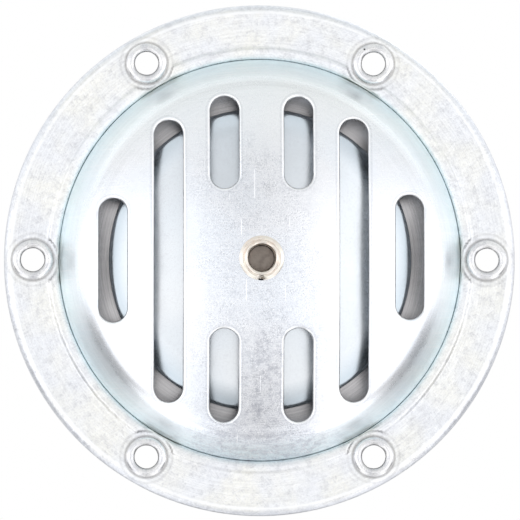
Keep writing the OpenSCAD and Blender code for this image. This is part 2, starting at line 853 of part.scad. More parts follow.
// Carrier of the fixed contact, with an arm over the adjusting screw
module contact_carrier() {
    tip_y = leaf_root_y - contact_reach;
    color("darkkhaki") upright() difference() {
        translate([0, 0, z_carrier]) linear_extrude(carrier_t) {
            translate([-stack_w / 2, leaf_root_y]) square([stack_w, stack_l]);
            translate([-carrier_w / 2, tip_y]) square([carrier_w, contact_reach + 1]);
            translate([0, tip_y]) intersection() {
                circle(d = carrier_w);
                square([carrier_w, contact_d + 0.6], center = true);
            }
            translate([0, adjuster_y - adjuster_arm_w / 2]) square([adjuster_x, adjuster_arm_w]);
            translate([adjuster_x, adjuster_y]) circle(d = adjuster_arm_w);
        }
        at_stack_rivets(z_carrier - past, stack_rivet_d + 2 * fit_gap, carrier_t + 2 * past);
        translate([0, tip_y, z_carrier - past])
            cylinder(d = contact_d / 2 + 2 * fit_gap, h = carrier_t + 2 * past);
    }
}

// Fixed contact, riveted through its carrier
module fixed_contact() {
    r = contact_d / 2;
    color("silver") upright() translate([0, leaf_root_y - contact_reach, 0]) turned_piece([
        [0, z_leaf_top + contact_h], [r, z_leaf_top + contact_h], [r, z_carrier],
        [r / 2, z_carrier], [r / 2, z_top_insulator], [0, z_top_insulator]
    ]);
}

module top_insulator() {
    color("saddlebrown") upright() stack_plate(z_top_insulator, clamp_t, stack_w);
}

module breaker_clamp_plate() {
    color("silver") upright() stack_plate(z_clamp, clamp_t, stack_w);
}

// Two rivets through the whole stack and the housing's floor
module breaker_rivets() {
    head_h = 0.8;
    head_d = 2 * stack_rivet_d - 0.4;
    color("gray") upright() {
        at_stack_rivets(z_dish, stack_rivet_d, z_clamp_top - z_dish);
        at_stack_rivets(z_clamp_top, head_d, head_h);
        at_stack_rivets(z_dish - head_h, head_d, head_h);
    }
}

module at_adjuster() {
    translate([adjuster_x, adjuster_y, 0]) children();
}

function insert_neck_d() = insert_d - 1.2;

// Threaded insert pressed into the housing's floor from inside
module adjuster_insert() {
    color("silver") upright() at_adjuster() difference() {
        union() {
            translate([0, 0, z_dish]) cylinder(d = insert_neck_d(), h = housing_t);
            translate([0, 0, z_dish_floor]) cylinder(d = insert_d, h = base_insulator_t);
        }
        translate([0, 0, z_dish - past])
            cylinder(d = adjuster_d + 2 * fit_gap, h = housing_t + base_insulator_t + 2 * past);
    }
}

// Slotted screw that bears on the carrier's arm
module adjusting_screw() {
    tail = z_dish - adjuster_out;
    slot_h = 1.2;
    slot_t = 0.8;
    r = adjuster_d / 2;
    tip = 0.5;
    top = z_carrier - fit_gap;
    color("darkgray") upright() at_adjuster() difference() {
        turned_piece([
            [0, tail], [r - tip, tail], [r, tail + tip], [r, top - tip], [r - tip, top], [0, top]
        ]);
        translate([-past - r, -slot_t / 2, tail - past])
            cube([2 * (past + r), slot_t, slot_h + past]);
    }
}

module adjuster_lock_nut() {
    color("silver") upright() at_adjuster() translate([0, 0, z_dish - lock_nut_h])
        hex_nut(lock_nut_af, adjuster_d + 2 * fit_gap, lock_nut_h);
}

// Spark resistor beside the breaker, lying on the housing's floor
module spark_resistor() {
    centre_r = leaf_root_y;
    angle = 130;
    lead_l = 2.5;
    color("beige") upright() rotate(angle) translate([centre_r, 0, z_dish_floor + resistor_d / 2])
        rotate([90, 0, 0]) {
            cylinder(d = resistor_d, h = resistor_l, center = true);
            cylinder(d = lead_d, h = resistor_l + 2 * lead_l, center = true);
        }
}

module at_terminals() {
    for (side = [-1, 1])
        translate([side * terminal_pitch / 2, -terminal_y, 0]) children();
}

function terminal_collar_d() = terminal_rivet_d + 2;

// Insulating plate outside the housing's floor
module terminal_plate() {
    color("saddlebrown") upright() difference() {
        translate([-terminal_plate_l / 2, -terminal_y - terminal_plate_w / 2, z_dish - terminal_plate_t])
            cube([terminal_plate_l, terminal_plate_w, terminal_plate_t]);
        at_terminals() translate([0, 0, z_dish - terminal_plate_t - past])
            cylinder(d = terminal_rivet_d + 2 * fit_gap, h = terminal_plate_t + 2 * past);
    }
}

// Insulating plate inside, with a collar through each of the floor's holes
module inner_terminal_plate() {
    color("saddlebrown") upright() difference() {
        union() {
            translate([-inner_plate_l / 2, -terminal_y - terminal_plate_w / 2, z_dish_floor])
                cube([inner_plate_l, terminal_plate_w, terminal_plate_t]);
            at_terminals() translate([0, 0, z_dish + fit_gap])
                cylinder(d = terminal_collar_d(), h = housing_t);
        }
        at_terminals() translate([0, 0, z_dish - past])
            cylinder(d = terminal_rivet_d + 2 * fit_gap,
                h = housing_t + terminal_plate_t + 2 * past);
    }
}

// Two angled tabs with blades that point rearward
module terminal_blades() {
    foot_z = z_dish - terminal_plate_t;
    foot_l = terminal_plate_w - 0.6;
    color("khaki") upright() at_terminals() difference() {
        rotate([90, 0, 90]) linear_extrude(blade_w, center = true) polygon(sheet(bent([
            [foot_l / 2, foot_z, 0],
            [-foot_l / 2, foot_z, blade_t + 0.2],
            [-foot_l / 2, foot_z - blade_l, 0]
        ]), blade_t));
        translate([0, 0, foot_z - blade_t - past])
            cylinder(d = terminal_rivet_d + 2 * fit_gap, h = blade_t + 2 * past);
    }
}

// Rivets that hold the tabs and carry the current inside
module terminal_rivets() {
    head_d = terminal_rivet_d + 1.6;
    low = z_dish - terminal_plate_t - blade_t;
    high = z_inner_rivet - terminal_head_h;
    color("khaki") upright() at_terminals() {
        translate([0, 0, low]) cylinder(d = terminal_rivet_d, h = high - low);
        translate([0, 0, low - terminal_head_h]) cylinder(d = head_d, h = terminal_head_h);
        translate([0, 0, high]) cylinder(d = head_d, h = terminal_head_h);
    }
}

// Leads from the winding to one terminal and to the leaf
module coil_leads() {
    coil_r = winding_r + 3 * fit_gap;
    bend_r = cup_r - 4 * lead_d;
    lead_z = z_bobbin_top - bobbin_t - lead_d;
    rivet_z = z_inner_rivet + lead_d / 2 + fit_gap;
    leaf_z = z_leaf + leaf_t / 2;
    terminal_angle = 200;
    leaf_angle = 28;
    color("firebrick") upright() {
        wire([
            [coil_r * sin(terminal_angle), coil_r * cos(terminal_angle), lead_z],
            [bend_r * sin(terminal_angle), bend_r * cos(terminal_angle), lead_z],
            [-terminal_pitch / 2 - lead_d, -cup_r, rivet_z + lead_d],
            [-terminal_pitch / 2, lead_d - terminal_y, rivet_z]
        ], lead_d);
        wire([
            [-coil_r * sin(leaf_angle), coil_r * cos(leaf_angle), lead_z],
            [-bend_r * sin(leaf_angle), bend_r * cos(leaf_angle), lead_z],
            [-stack_w / 2 - 2 * lead_d, leaf_root_y - 2 * lead_d, leaf_z],
            [-stack_w / 2 - lead_d / 2, leaf_root_y + lead_d, leaf_z]
        ], lead_d);
    }
}

// Insulated wire from the other terminal round the dish to the carrier
module link_wire() {
    run_r = dish_r - floor_bend_r - wire_d;
    run_z = z_dish_floor + wire_d / 2 + fit_gap;
    rivet_z = z_inner_rivet + wire_d / 2 + fit_gap;
    arm_end_x = adjuster_x + adjuster_arm_w / 2 + wire_d / 2;
    first_angle = -48;
    last_angle = 60;
    steps = 14;
    color("black") upright() wire(concat(
        [
            [terminal_pitch / 2, -terminal_y, rivet_z],
            [terminal_pitch / 2 + 3 * wire_d, wire_d - terminal_y, rivet_z],
            [terminal_pitch / 2 + 8 * wire_d, 3 * wire_d - terminal_y, run_z + wire_d / 2]
        ],
        [
            for (i = [0 : steps])
                let (angle = first_angle + (last_angle - first_angle) * i / steps)
                [run_r * cos(angle), run_r * sin(angle), run_z]
        ],
        [
            [arm_end_x + wire_d, adjuster_y + wire_d, z_carrier - wire_d],
            [arm_end_x, adjuster_y, z_carrier + carrier_t / 2]
        ]
    ), wire_d);
}

front_ring();
rim_rivets();
grille();
centre_bush();
front_gasket();
diaphragm();
rear_gasket();
rear_housing();
armature();
armature_stem();
spacer_washer();
tone_disc();
tone_disc_washer();
stem_nut();
magnet_core();
magnet_yoke();
core_washer();
core_nut();
coil_bobbin();
coil_winding();
base_insulator();
contact_spring();
push_pin();
moving_contact();
stack_insulator();
contact_carrier();
fixed_contact();
top_insulator();
breaker_clamp_plate();
breaker_rivets();
adjuster_insert();
adjusting_screw();
adjuster_lock_nut();
spark_resistor();
terminal_plate();
inner_terminal_plate();
terminal_blades();
terminal_rivets();
coil_leads();
link_wire();
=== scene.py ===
"""Car horn with a slotted dome grille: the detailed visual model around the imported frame.

Lengths in the shapes below are millimetres in the horn's own frame: x right, y up and z
forward, out of the grille, counted from the bracket seat. build() turns them into the row
frame, in metres.
"""
from math import acos, atan2, cos, pi, radians, sin, sqrt, tan

import bpy
import numpy as np
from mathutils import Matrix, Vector
from mathutils.geometry import delaunay_2d_cdt


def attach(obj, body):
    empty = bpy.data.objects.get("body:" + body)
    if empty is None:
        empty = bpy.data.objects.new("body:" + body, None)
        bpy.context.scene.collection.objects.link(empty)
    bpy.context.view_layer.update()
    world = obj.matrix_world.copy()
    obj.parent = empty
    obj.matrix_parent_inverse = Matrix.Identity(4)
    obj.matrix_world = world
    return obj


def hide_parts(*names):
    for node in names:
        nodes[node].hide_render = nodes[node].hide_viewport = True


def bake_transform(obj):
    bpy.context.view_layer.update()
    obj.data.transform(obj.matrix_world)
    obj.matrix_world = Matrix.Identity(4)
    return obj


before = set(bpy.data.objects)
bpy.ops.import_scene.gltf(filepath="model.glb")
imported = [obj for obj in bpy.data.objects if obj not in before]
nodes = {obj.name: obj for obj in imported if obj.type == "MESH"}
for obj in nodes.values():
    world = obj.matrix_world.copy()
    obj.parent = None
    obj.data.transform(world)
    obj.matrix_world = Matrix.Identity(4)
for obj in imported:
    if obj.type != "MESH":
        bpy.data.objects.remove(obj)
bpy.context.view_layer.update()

scene = bpy.context.scene

# Heights from the bracket seat forward: the housing flange's back, the diaphragm's rim and hub,
# the grille's flange, the ring's face, the tone disc's back and the dome's flat middle
Z_FLANGE, Z_DIAPHRAGM, Z_HUB, Z_GRILLE = 24.2, 25.9, 27.1, 27.7
Z_FACE, Z_TONE, Z_PAD = 28.7, 32.0, 40.2
# Radii: the ring, its mouth, the flanges in it, the slots' ends, and the holes
RING_R, MOUTH_R, FLANGE_R, SLOT_R = 49.98, 39.3, 48.45, 2.8
RIVET_CIRCLE, RIVET_HOLE, STEM_HOLE, BUSH_HOLE = 44.35, 3.0, 3.05, 3.35
RIVET_ANGLES = [radians(60 * i) for i in range(6)]
RIVETS = [(RIVET_CIRCLE * cos(a), RIVET_CIRCLE * sin(a)) for a in RIVET_ANGLES]


# ---- shapes

def to_row(points):
    """Points or directions of the horn's own frame, in the row frame's axes."""
    p = np.asarray(points, float).reshape(-1, 3)
    return np.stack([p[:, 0], -p[:, 2], p[:, 1]], axis=1)


def add(name, data):
    """A new object in the scene."""
    thing = bpy.data.objects.new(name, data)
    scene.collection.objects.link(thing)
    return thing


def build(name, verts, faces, material, normals=None, sharp=35):
    """Mesh object from points in millimetres; normals, if given, are one per face corner."""
    mesh = bpy.data.meshes.new(name)
    mesh.from_pydata((to_row(verts) / 1000).tolist(), [], [list(map(int, f)) for f in faces])
    mesh.shade_smooth()
    if normals is None:
        mesh.set_sharp_from_angle(angle=radians(sharp))
    else:
        mesh.normals_split_custom_set(to_row(normals).tolist())
    mesh.update()
    mesh.materials.append(material)
    return add(name, mesh)


def unit(angle):
    """Direction at an angle in radians."""
    return np.array((cos(angle), sin(angle)))


def bent(corners, steps=8):
    """Path through corners (x, y, radius), with each inner corner rounded."""
    path = []
    for i, (x, y, radius) in enumerate(corners):
        b = np.array((x, y), float)
        if radius == 0 or i in (0, len(corners) - 1):
            path.append(b)
            continue
        a = np.array(corners[i - 1][:2], float)
        c = np.array(corners[i + 1][:2], float)
        back = (a - b) / np.linalg.norm(a - b)
        on = (c - b) / np.linalg.norm(c - b)
        half = acos(np.clip(back @ on, -1, 1)) / 2
        mid = (back + on) / np.linalg.norm(back + on)
        centre = b + mid * radius / sin(half)
        start = b + back * radius / tan(half) - centre
        way = 1 if back[0] * on[1] - back[1] * on[0] < 0 else -1
        for k in range(steps + 1):
            c, s = unit(way * (pi - 2 * half) * k / steps)
            path.append(centre + (start[0] * c - start[1] * s, start[0] * s + start[1] * c))
    return np.array(path)


def rounded(corners):
    """Closed outline through corners (x, y, radius)."""
    n = len(corners)
    outline = []
    for i in range(n):
        outline.extend(bent([corners[i - 1], corners[i], corners[(i + 1) % n]])[1:-1])
    return np.array(outline)


def run_along(path):
    """The length run along a path at each of its points."""
    return np.concatenate([[0], np.cumsum(np.linalg.norm(np.diff(path, axis=0), axis=1))])


def even(path, count):
    """The path again, with count points at even steps along it."""
    path = np.asarray(path, float)
    s = run_along(path)
    t = np.linspace(0, s[-1], count)
    return np.stack([np.interp(t, s, path[:, 0]), np.interp(t, s, path[:, 1])], axis=1)


def lathe(outline, steps, closed=True):
    """Verts and faces of a section in radius and height, turned about the axis."""
    outline = np.asarray(outline, float)
    n = len(outline)
    angle = 2 * pi * np.arange(steps) / steps
    verts = np.empty((steps, n, 3))
    verts[:, :, 0] = np.outer(np.cos(angle), outline[:, 0])
    verts[:, :, 1] = np.outer(np.sin(angle), outline[:, 0])
    verts[:, :, 2] = outline[:, 1]
    last = n if closed else n - 1
    faces = []
    for i in range(steps):
        k = (i + 1) % steps
        for j in range(last):
            m = (j + 1) % n
            faces.append((i * n + j, k * n + j, k * n + m, i * n + m))
    return verts.reshape(-1, 3), faces


def solid_lathe(outline, steps):
    """As lathe(), for a section that starts and ends on the axis."""
    verts, faces = lathe(outline[1:-1], steps, closed=False)
    n = len(outline) - 2
    low, high = len(verts), len(verts) + 1
    verts = np.vstack([verts, [(0, 0, outline[0][1]), (0, 0, outline[-1][1])]])
    for i in range(steps):
        k = (i + 1) % steps
        faces.append((low, k * n, i * n))
        faces.append((high, i * n + n - 1, k * n + n - 1))
    return verts, faces


def circle(r, count, centre=(0.0, 0.0)):
    """Count points round a circle in the plane."""
    a = 2 * pi * np.arange(count) / count
    return np.stack([centre[0] + r * np.cos(a), centre[1] + r * np.sin(a)], axis=1)


def plan_mesh(points, loops, keep):
    """Triangles over loose points and closed loops in the plane, where keep(x, y) is true."""
    coords = [Vector(p) for p in np.asarray(points, float)]
    edges = []
    for loop in loops:
        first = len(coords)
        coords.extend(Vector(p) for p in loop)
        count = len(loop)
        edges.extend((first + i, first + (i + 1) % count) for i in range(count))
    verts, _, faces, *_ = delaunay_2d_cdt(coords, edges, [], 0, 1e-6)
    v = np.array([(p.x, p.y) for p in verts])
    f = np.array([t for t in faces if len(t) == 3])
    a, b, c = v[f[:, 0]], v[f[:, 1]], v[f[:, 2]]
    area = (b[:, 0] - a[:, 0]) * (c[:, 1] - a[:, 1]) - (b[:, 1] - a[:, 1]) * (c[:, 0] - a[:, 0])
    f[area < 0] = f[area < 0][:, ::-1]
    mid = (a + b + c) / 3
    f = f[(np.abs(area) > 1e-9) & keep(mid[:, 0], mid[:, 1])]
    used, index = np.unique(f, return_inverse=True)
    return v[used], index.reshape(f.shape)


def sheet(name, plan, triangles, front, back, material):
    """Sheet metal piece: front and back give places and normals over the plan."""
    m = len(plan)
    p_front, n_front = front(plan[:, 0], plan[:, 1])
    p_back, n_back = back(plan[:, 0], plan[:, 1])
    verts = np.vstack([p_front, p_back])
    sides = np.vstack([triangles[:, [0, 1]], triangles[:, [1, 2]], triangles[:, [2, 0]]])
    key = set(map(tuple, sides))
    rim = np.array([(a, b) for a, b in map(tuple, sides) if (b, a) not in key])
    a, b = rim[:, 0], rim[:, 1]
    cross = np.cross(verts[a] - verts[b], verts[a + m] - verts[a])
    wall = np.zeros((m, 3))
    np.add.at(wall, a, cross)
    np.add.at(wall, b, cross)
    wall /= np.maximum(np.linalg.norm(wall, axis=1, keepdims=True), 1e-12)
    flipped = triangles[:, ::-1]
    faces = triangles.tolist() + (flipped + m).tolist()
    faces += np.stack([b, a, a + m, b + m], axis=1).tolist()
    normals = np.vstack([
        n_front[triangles].reshape(-1, 3),
        n_back[flipped].reshape(-1, 3),
        np.stack([wall[b], wall[a], wall[a], wall[b]], axis=1).reshape(-1, 3),
    ])
    return build(name, verts, faces, material, normals)


def normed(vectors):
    return vectors / np.linalg.norm(vectors, axis=1, keepdims=True)


def numeric(place, side=1):
    """Gives place(x, y) its normals from nearby points; side is -1 for a back."""
    step = 0.01

    def both(x, y):
        dx = place(x + step, y) - place(x - step, y)
        dy = place(x, y + step) - place(x, y - step)
        return place(x, y), side * normed(np.cross(dx, dy))
    return both


# ---- materials

def feed(tree, socket, value):
    """Links a socket to an input, or sets a number, colour or vector on it."""
    if isinstance(value, bpy.types.NodeSocket):
        tree.links.new(value, socket)
    else:
        socket.default_value = value


def add_node(tree, kind, links, settings):
    """A shader node with its properties set and its inputs fed."""
    n = tree.nodes.new("ShaderNode" + kind)
    for key, value in settings.items():
        setattr(n, key, value)
    for socket, value in links:
        feed(tree, n.inputs[socket], value)
    return n


OWN_GRAIN = 1000  # size for noise over a vector that already counts in grains


class Shader:
    """A node material, with short calls for the nodes that the finishes share."""

    def __init__(self, name, metallic=1.0, **values):
        self.material = bpy.data.materials.new(name)
        self.material.use_nodes = True
        self.tree = self.material.node_tree
        self.base = self.tree.nodes["Principled BSDF"]
        self.object = self.node("TexCoord").outputs["Object"]
        self.set("Metallic", metallic)
        for key, value in values.items():
            self.set(key.replace("_", " "), value)

    def node(self, kind, *links, **settings):
        return add_node(self.tree, kind, links, settings)

    def set(self, name, value):
        feed(self.tree, self.base.inputs[name], value)

    def math(self, operation, a, b=0.0):
        return self.node("Math", (0, a), (1, b), operation=operation).outputs[0]

    def times(self, a, b):
        return self.math("MULTIPLY", a, b)

    def plus(self, a, b):
        return self.math("ADD", a, b)

    def minus(self, a, b):
        return self.math("SUBTRACT", a, b)

    def most(self, a, b):
        return self.math("MAXIMUM", a, b)

    def noise(self, size, detail, vector=None, rough=0.5):
        """Noise whose grains are about size millimetres, where the vector is in metres."""
        return self.node(
            "TexNoise", ("Vector", vector or self.object), ("Scale", 1000 / size),
            ("Detail", detail), ("Roughness", rough),
        ).outputs["Fac"]

    def ramp(self, value, *stops):
        """Colours or greys over the value, with eased steps between the stops."""
        n = self.node("ValToRGB", (0, value))
        n.color_ramp.interpolation = "EASE"
        while len(n.color_ramp.elements) < len(stops):
            n.color_ramp.elements.new(0.5)
        for e, (place, colour) in zip(n.color_ramp.elements, stops):
            e.position = place
            e.color = (*colour, 1) if isinstance(colour, tuple) else (colour,) * 3 + (1,)
        return n.outputs[0]

    def mix(self, factor, a, b, blend="MIX"):
        n = self.node("Mix", data_type="RGBA", blend_type=blend)
        for index, value in ((0, factor), (6, a), (7, b)):
            feed(self.tree, n.inputs[index], (*value, 1) if isinstance(value, tuple) else value)
        return n.outputs[2]

    def tint(self, factor, colour):
        """Lays a colour over the finish's colour so far."""
        self.colour = self.mix(factor, self.colour, colour)

    def shade(self, by):
        self.colour = self.mix(1.0, self.colour, by, "MULTIPLY")

    def map(self, value, low, high, to_low=0.0, to_high=1.0):
        return self.node(
            "MapRange", (0, value), (1, low), (2, high), (3, to_low), (4, to_high),
        ).outputs[0]

    def bump(self, height, depth, normal=None):
        """Height from 0 to 1 as a relief of depth millimetres."""
        links = [("Height", height), ("Distance", depth / 1000), ("Strength", 1.0)]
        if normal is not None:
            links.append(("Normal", normal))
        return self.node("Bump", *links).outputs[0]

    def gloss(self, low, high, size, detail, rough=0.5):
        """Roughness from low to high, in grains of about size millimetres."""
        self.set("Roughness", self.map(self.noise(size, detail, rough=rough), 0.3, 0.7, low, high))

    def hypot(self, a, b):
        return self.math("SQRT", self.plus(self.times(a, a), self.times(b, b)))

    def polar(self):
        """Place in the horn's plane, in mm: radius, angle round the axis, x and z."""
        mm = self.node("VectorMath", (0, self.object), ("Scale", 1000.0), operation="SCALE").outputs[0]
        xyz = self.node("SeparateXYZ", (0, mm))
        x, z = xyz.outputs["X"], xyz.outputs["Z"]
        return self.hypot(x, z), self.math("ARCTAN2", z, x), x, z

    def near_rivet(self, r, angle):
        """Distance from the nearest rivet's axis in mm, and the angle from it round the horn."""
        turn = self.node("Math", (0, angle), (1, pi / 6), (2, -pi / 6), operation="WRAP").outputs[0]
        out = self.minus(self.times(r, self.math("COSINE", turn)), RIVET_CIRCLE)
        return self.hypot(out, self.times(r, self.math("SINE", turn))), turn

    def near_slot(self, x, z):
        """Distance in mm outside the edge of the nearest of the grille's slots."""
        best = None
        # The slots of a kind taken as one: how far out, the place along it, and half its straight part
        side_z = self.times(self.math("SIGN", x), 0.325)
        long_slot = (17.97, self.plus(z, 0.375), 24.6)
        side_slot = (28.78, self.minus(z, side_z), 9.22)
        short_slot = (7.2, self.minus(self.math("ABSOLUTE", z), 22.53), 6.25)
        for middle, along, half in (long_slot, side_slot, short_slot):
            over = self.most(self.minus(self.math("ABSOLUTE", along), half), 0.0)
            off = self.minus(self.math("ABSOLUTE", x), middle)
            d = self.minus(self.hypot(off, over), SLOT_R)
            best = d if best is None else self.math("MINIMUM", best, d)
        return best

    def band(self, value, middle, outer, inner):
        """1 within inner of the middle, 0 beyond outer."""
        return self.map(self.math("ABSOLUTE", self.minus(value, middle)), outer, inner)

    def streaks(self, across, along, detail):
        """Noise drawn out round the axis: the grain's size across, and along where r is 40 mm."""
        r, angle, _, _ = self.polar()
        at = self.node("CombineXYZ", (0, self.times(r, 1 / across)), (1, self.times(angle, 40 / along)))
        return self.noise(OWN_GRAIN, detail, at.outputs[0])

    def scuffs(self, turn, across, along):
        """Straight fine scratches that lie turn degrees from level; 1 on a scratch."""
        _, _, x, z = self.polar()
        c, n = unit(radians(turn)).tolist()
        u = self.plus(self.times(x, c / along), self.times(z, n / along))
        v = self.minus(self.times(z, c / across), self.times(x, n / across))
        # The third coordinate gives each direction a pattern of its own
        at = self.node("CombineXYZ", (0, u), (1, v), (2, turn * 0.37))
        return self.map(self.noise(OWN_GRAIN, 1, at.outputs[0]), 0.60, 0.68)


def zinc(name, cool, warm, rough, grain, relief, patch):
    """Zinc plating with a pale passivation: tint in patches, fine grain and light wear."""
    s = Shader(name)
    patches = s.ramp(s.noise(patch, 3), (0.35, 0.0), (0.68, 1.0))
    s.colour = s.mix(patches, cool, warm)
    fine = s.noise(grain, 2, rough=0.7)
    s.shade(s.ramp(fine, (0.36, 0.9), (0.6, 1.0)))
    s.set("Base Color", s.colour)
    s.gloss(rough - 0.04, rough + 0.06, 3.5, 4, 0.65)
    s.set("Normal", s.bump(fine, relief, s.bump(s.noise(1.6, 3), relief * 2.5)))
    return s.material


def plain(name, colour, dark, rough, size, metallic=0.0, relief=0.01):
    """A finish of one colour with mottling, uneven gloss and a fine relief."""
    s = Shader(name, metallic)
    spots = s.noise(size, 4, rough=0.6)
    s.set("Base Color", s.mix(s.ramp(spots, (0.3, 0.0), (0.7, 1.0)), dark, colour))
    s.gloss(rough - 0.06, rough + 0.06, size * 4, 3)
    s.set("Normal", s.bump(spots, relief))
    return s.material


# Upright scratches on the dome: x, lowest and highest z, and half width
SCRATCHES = [
    (-1.35, 11.4, 17.4, 0.13), (-3.9, 4.2, 7.9, 0.10), (-2.95, -8.6, -3.9, 0.12),
    (-4.6, -36.0, -33.8, 0.10), (4.6, -8.5, -4.8, 0.05), (-6.2, 11.0, 12.6, 0.05),
    (5.4, 5.5, 8.0, 0.05), (-0.2, -26.0, -22.5, 0.05),
]


def lip_end_shade(s, r, turn):
    """Painted shade: dark streaks inward of each rivet, in the gap where the ring's lip is pressed flat."""
    at = s.times(s.band(r, 39.25, 0.85, 0.3), s.band(turn, 0.0, 0.135, 0.085))
    strokes = s.ramp(s.streaks(0.25, 5.0, 3), (0.42, 0.15), (0.56, 1.0))
    return s.times(at, strokes)


def grille_finish():
    """The dome: blue at its foot, warm above, speckled and scratched, with slot edges bright from wear and
    painted highlight, painted glints, and painted shade at the slots, the lip's ends and its inner side.
    """
    s = Shader("grille_zinc")
    r, angle, x, z = s.polar()
    _, turn = s.near_rivet(r, angle)
    edge = s.near_slot(x, z)
    patches = s.ramp(s.noise(16, 2), (0.38, 0.0), (0.66, 1.0))
    s.colour = s.mix(patches, (0.865, 0.895, 0.94), (0.905, 0.91, 0.93))
    s.tint(s.times(s.map(z, 16, 32), 0.6), (0.905, 0.92, 0.90))
    s.tint(s.times(s.map(r, 34.5, 38.4), 0.85), (0.82, 0.94, 0.97))
    # Speckle: strong in the middle column, between the upper slots and below the bush
    ragged = s.times(s.minus(s.noise(7, 3), 0.5), 16.0)
    column = s.map(s.plus(s.math("ABSOLUTE", x), ragged), 17, 8)
    zone = s.most(s.times(column, s.map(s.plus(z, ragged), 28, 19)), 0.22)
    fine = s.noise(0.30, 2, rough=0.8)
    blots = s.noise(1.4, 4, rough=0.75)
    spots = s.plus(s.ramp(fine, (0.40, 0.36), (0.54, 0.0)), s.ramp(blots, (0.36, 0.20), (0.50, 0.0)))
    s.tint(s.times(spots, zone), (0.50, 0.52, 0.57))
    patch = s.hypot(s.times(s.minus(x, 0.8), 1.9), s.plus(z, 21.0))
    patch = s.times(s.map(s.plus(patch, ragged), 13, 5), s.map(blots, 0.40, 0.56, 0.52, 0.06))
    s.tint(patch, (0.42, 0.43, 0.48))
    low = s.times(column, s.map(s.plus(z, s.times(ragged, 0.4)), -27, -34))
    arcs = s.times(s.map(s.streaks(0.45, 6.0, 3), 0.50, 0.40), 0.34)
    soiled = s.most(s.map(blots, 0.42, 0.56, 0.46, 0.04), arcs)
    s.tint(s.times(low, soiled), (0.45, 0.46, 0.52))
    # Painted glints: bright flecks in the speckled zones
    aside = s.node("Mapping", (0, s.object), (1, (0.3, 0.1, 0.2))).outputs[0]
    painted_glints = s.map(s.noise(0.26, 1, vector=aside), 0.60, 0.66)
    s.tint(s.times(painted_glints, s.times(zone, 0.7)), (0.99, 0.99, 1.0))
    drawn = s.ramp(s.streaks(0.35, 16.0, 3), (0.4, 0.955), (0.62, 1.0))
    s.tint(s.map(r, 29, 34), s.mix(1.0, s.colour, drawn, "MULTIPLY"))
    # Edges of the slots: a painted shadow line just outside, and a bright rim that is partly wear and partly
    # painted highlight on the rolled edge
    rim_wear_and_highlight = s.times(s.map(edge, 0.46, 0.18), s.map(s.noise(3.5, 3), 0.38, 0.56, 0.2, 1.0))
    s.tint(s.times(s.band(edge, 0.66, 0.26, 0.06), 0.16), (0.35, 0.36, 0.40))
    s.tint(rim_wear_and_highlight, (0.985, 0.985, 0.985))
    marks = None
    for at, low, high, half in SCRATCHES:
        line = s.band(x, at, half, half / 2.5)
        span = s.times(s.map(z, low, low + 0.5), s.map(z, high, high - 0.5))
        one = s.times(line, span)
        marks = one if marks is None else s.most(marks, one)
    scuffs = s.most(s.scuffs(4, 0.12, 5.0), s.scuffs(-38, 0.10, 4.0))
    s.tint(s.most(marks, s.times(scuffs, 0.35)), (0.98, 0.98, 0.99))
    # Painted shade in the gap where the lip ends at each rivet
    s.tint(s.times(lip_end_shade(s, r, turn), 0.45), (0.27, 0.28, 0.22))
    # Painted shade: the side that faces the tone disc is darkened
    facing = s.node("SeparateXYZ", (0, s.node("TexCoord").outputs["Normal"])).outputs["Y"]
    s.tint(s.map(facing, 0.10, 0.35), (0.54, 0.55, 0.57))
    s.set("Base Color", s.colour)
    rough = s.map(s.noise(2.5, 4, rough=0.7), 0.3, 0.7, 0.22, 0.32)
    rough = s.plus(rough, s.times(rim_wear_and_highlight, 0.12))
    rough = s.plus(rough, s.map(r, 35.5, 37.5, 0.0, 0.12))
    s.set("Roughness", s.plus(rough, s.times(marks, 0.15)))
    relief = s.bump(s.times(blots, zone), 0.02, s.bump(s.noise(1.3, 3), 0.006))
    relief = s.bump(s.times(fine, zone), 0.012, relief)
    s.set("Normal", s.bump(s.minus(1.0, marks), 0.01, relief))
    return s.material


def ring_finish():
    """The ring: pale, slightly warm, coined, mottled and scuffed round its flat face."""
    s = Shader("ring_zinc")
    r, angle, _, _ = s.polar()
    q, turn = s.near_rivet(r, angle)
    patches = s.ramp(s.noise(9, 3), (0.36, 0.0), (0.66, 1.0))
    s.colour = s.mix(patches, (0.905, 0.915, 0.94), (0.955, 0.945, 0.90))
    # Painted shade on the outer bend
    s.tint(s.times(s.map(r, 48.9, 49.5), 0.8), (0.79, 0.81, 0.86))
    s.tint(s.times(s.map(r, 40.4, 39.4), 0.7), (0.80, 0.90, 0.92))
    fine = s.noise(0.28, 2, rough=0.8)
    mottle = s.noise(1.7, 4, rough=0.75)
    spots = s.plus(s.ramp(fine, (0.40, 0.22), (0.53, 0.0)), s.ramp(mottle, (0.38, 0.26), (0.51, 0.0)))
    s.tint(spots, (0.50, 0.50, 0.53))
    scuffs = s.most(s.scuffs(28, 0.11, 3.0), s.scuffs(-52, 0.11, 2.4))
    s.tint(s.times(scuffs, 0.7), (0.99, 0.99, 0.99))
    drawn = s.streaks(0.28, 9.0, 3)
    s.shade(s.ramp(drawn, (0.38, 0.93), (0.6, 1.0)))
    # Painted highlight along the start of the outer bend
    s.tint(s.times(s.band(r, 48.55, 0.4, 0.1), 0.8), (0.99, 0.99, 0.99))
    # Painted shade where each rivet's head sits on the ring, and along the edge of the flat pressed round it
    contact = s.times(s.band(q, 4.15, 0.32, 0.08), 0.45)
    contact = s.most(contact, s.times(s.band(q, 5.1, 0.35, 0.1), 0.16))
    s.tint(contact, (0.28, 0.27, 0.26))
    # Painted shade in the gap where the lip ends at each rivet
    s.tint(s.times(lip_end_shade(s, r, turn), 0.45), (0.25, 0.26, 0.20))
    s.set("Base Color", s.colour)
    s.gloss(0.34, 0.48, 2.2, 4, 0.7)
    coined = s.bump(s.noise(2.2, 3, rough=0.6), 0.22, s.bump(s.noise(7.0, 2), 0.16))
    s.set("Normal", s.bump(fine, 0.01, s.bump(drawn, 0.006, s.bump(mottle, 0.02, coined))))
    return s.material


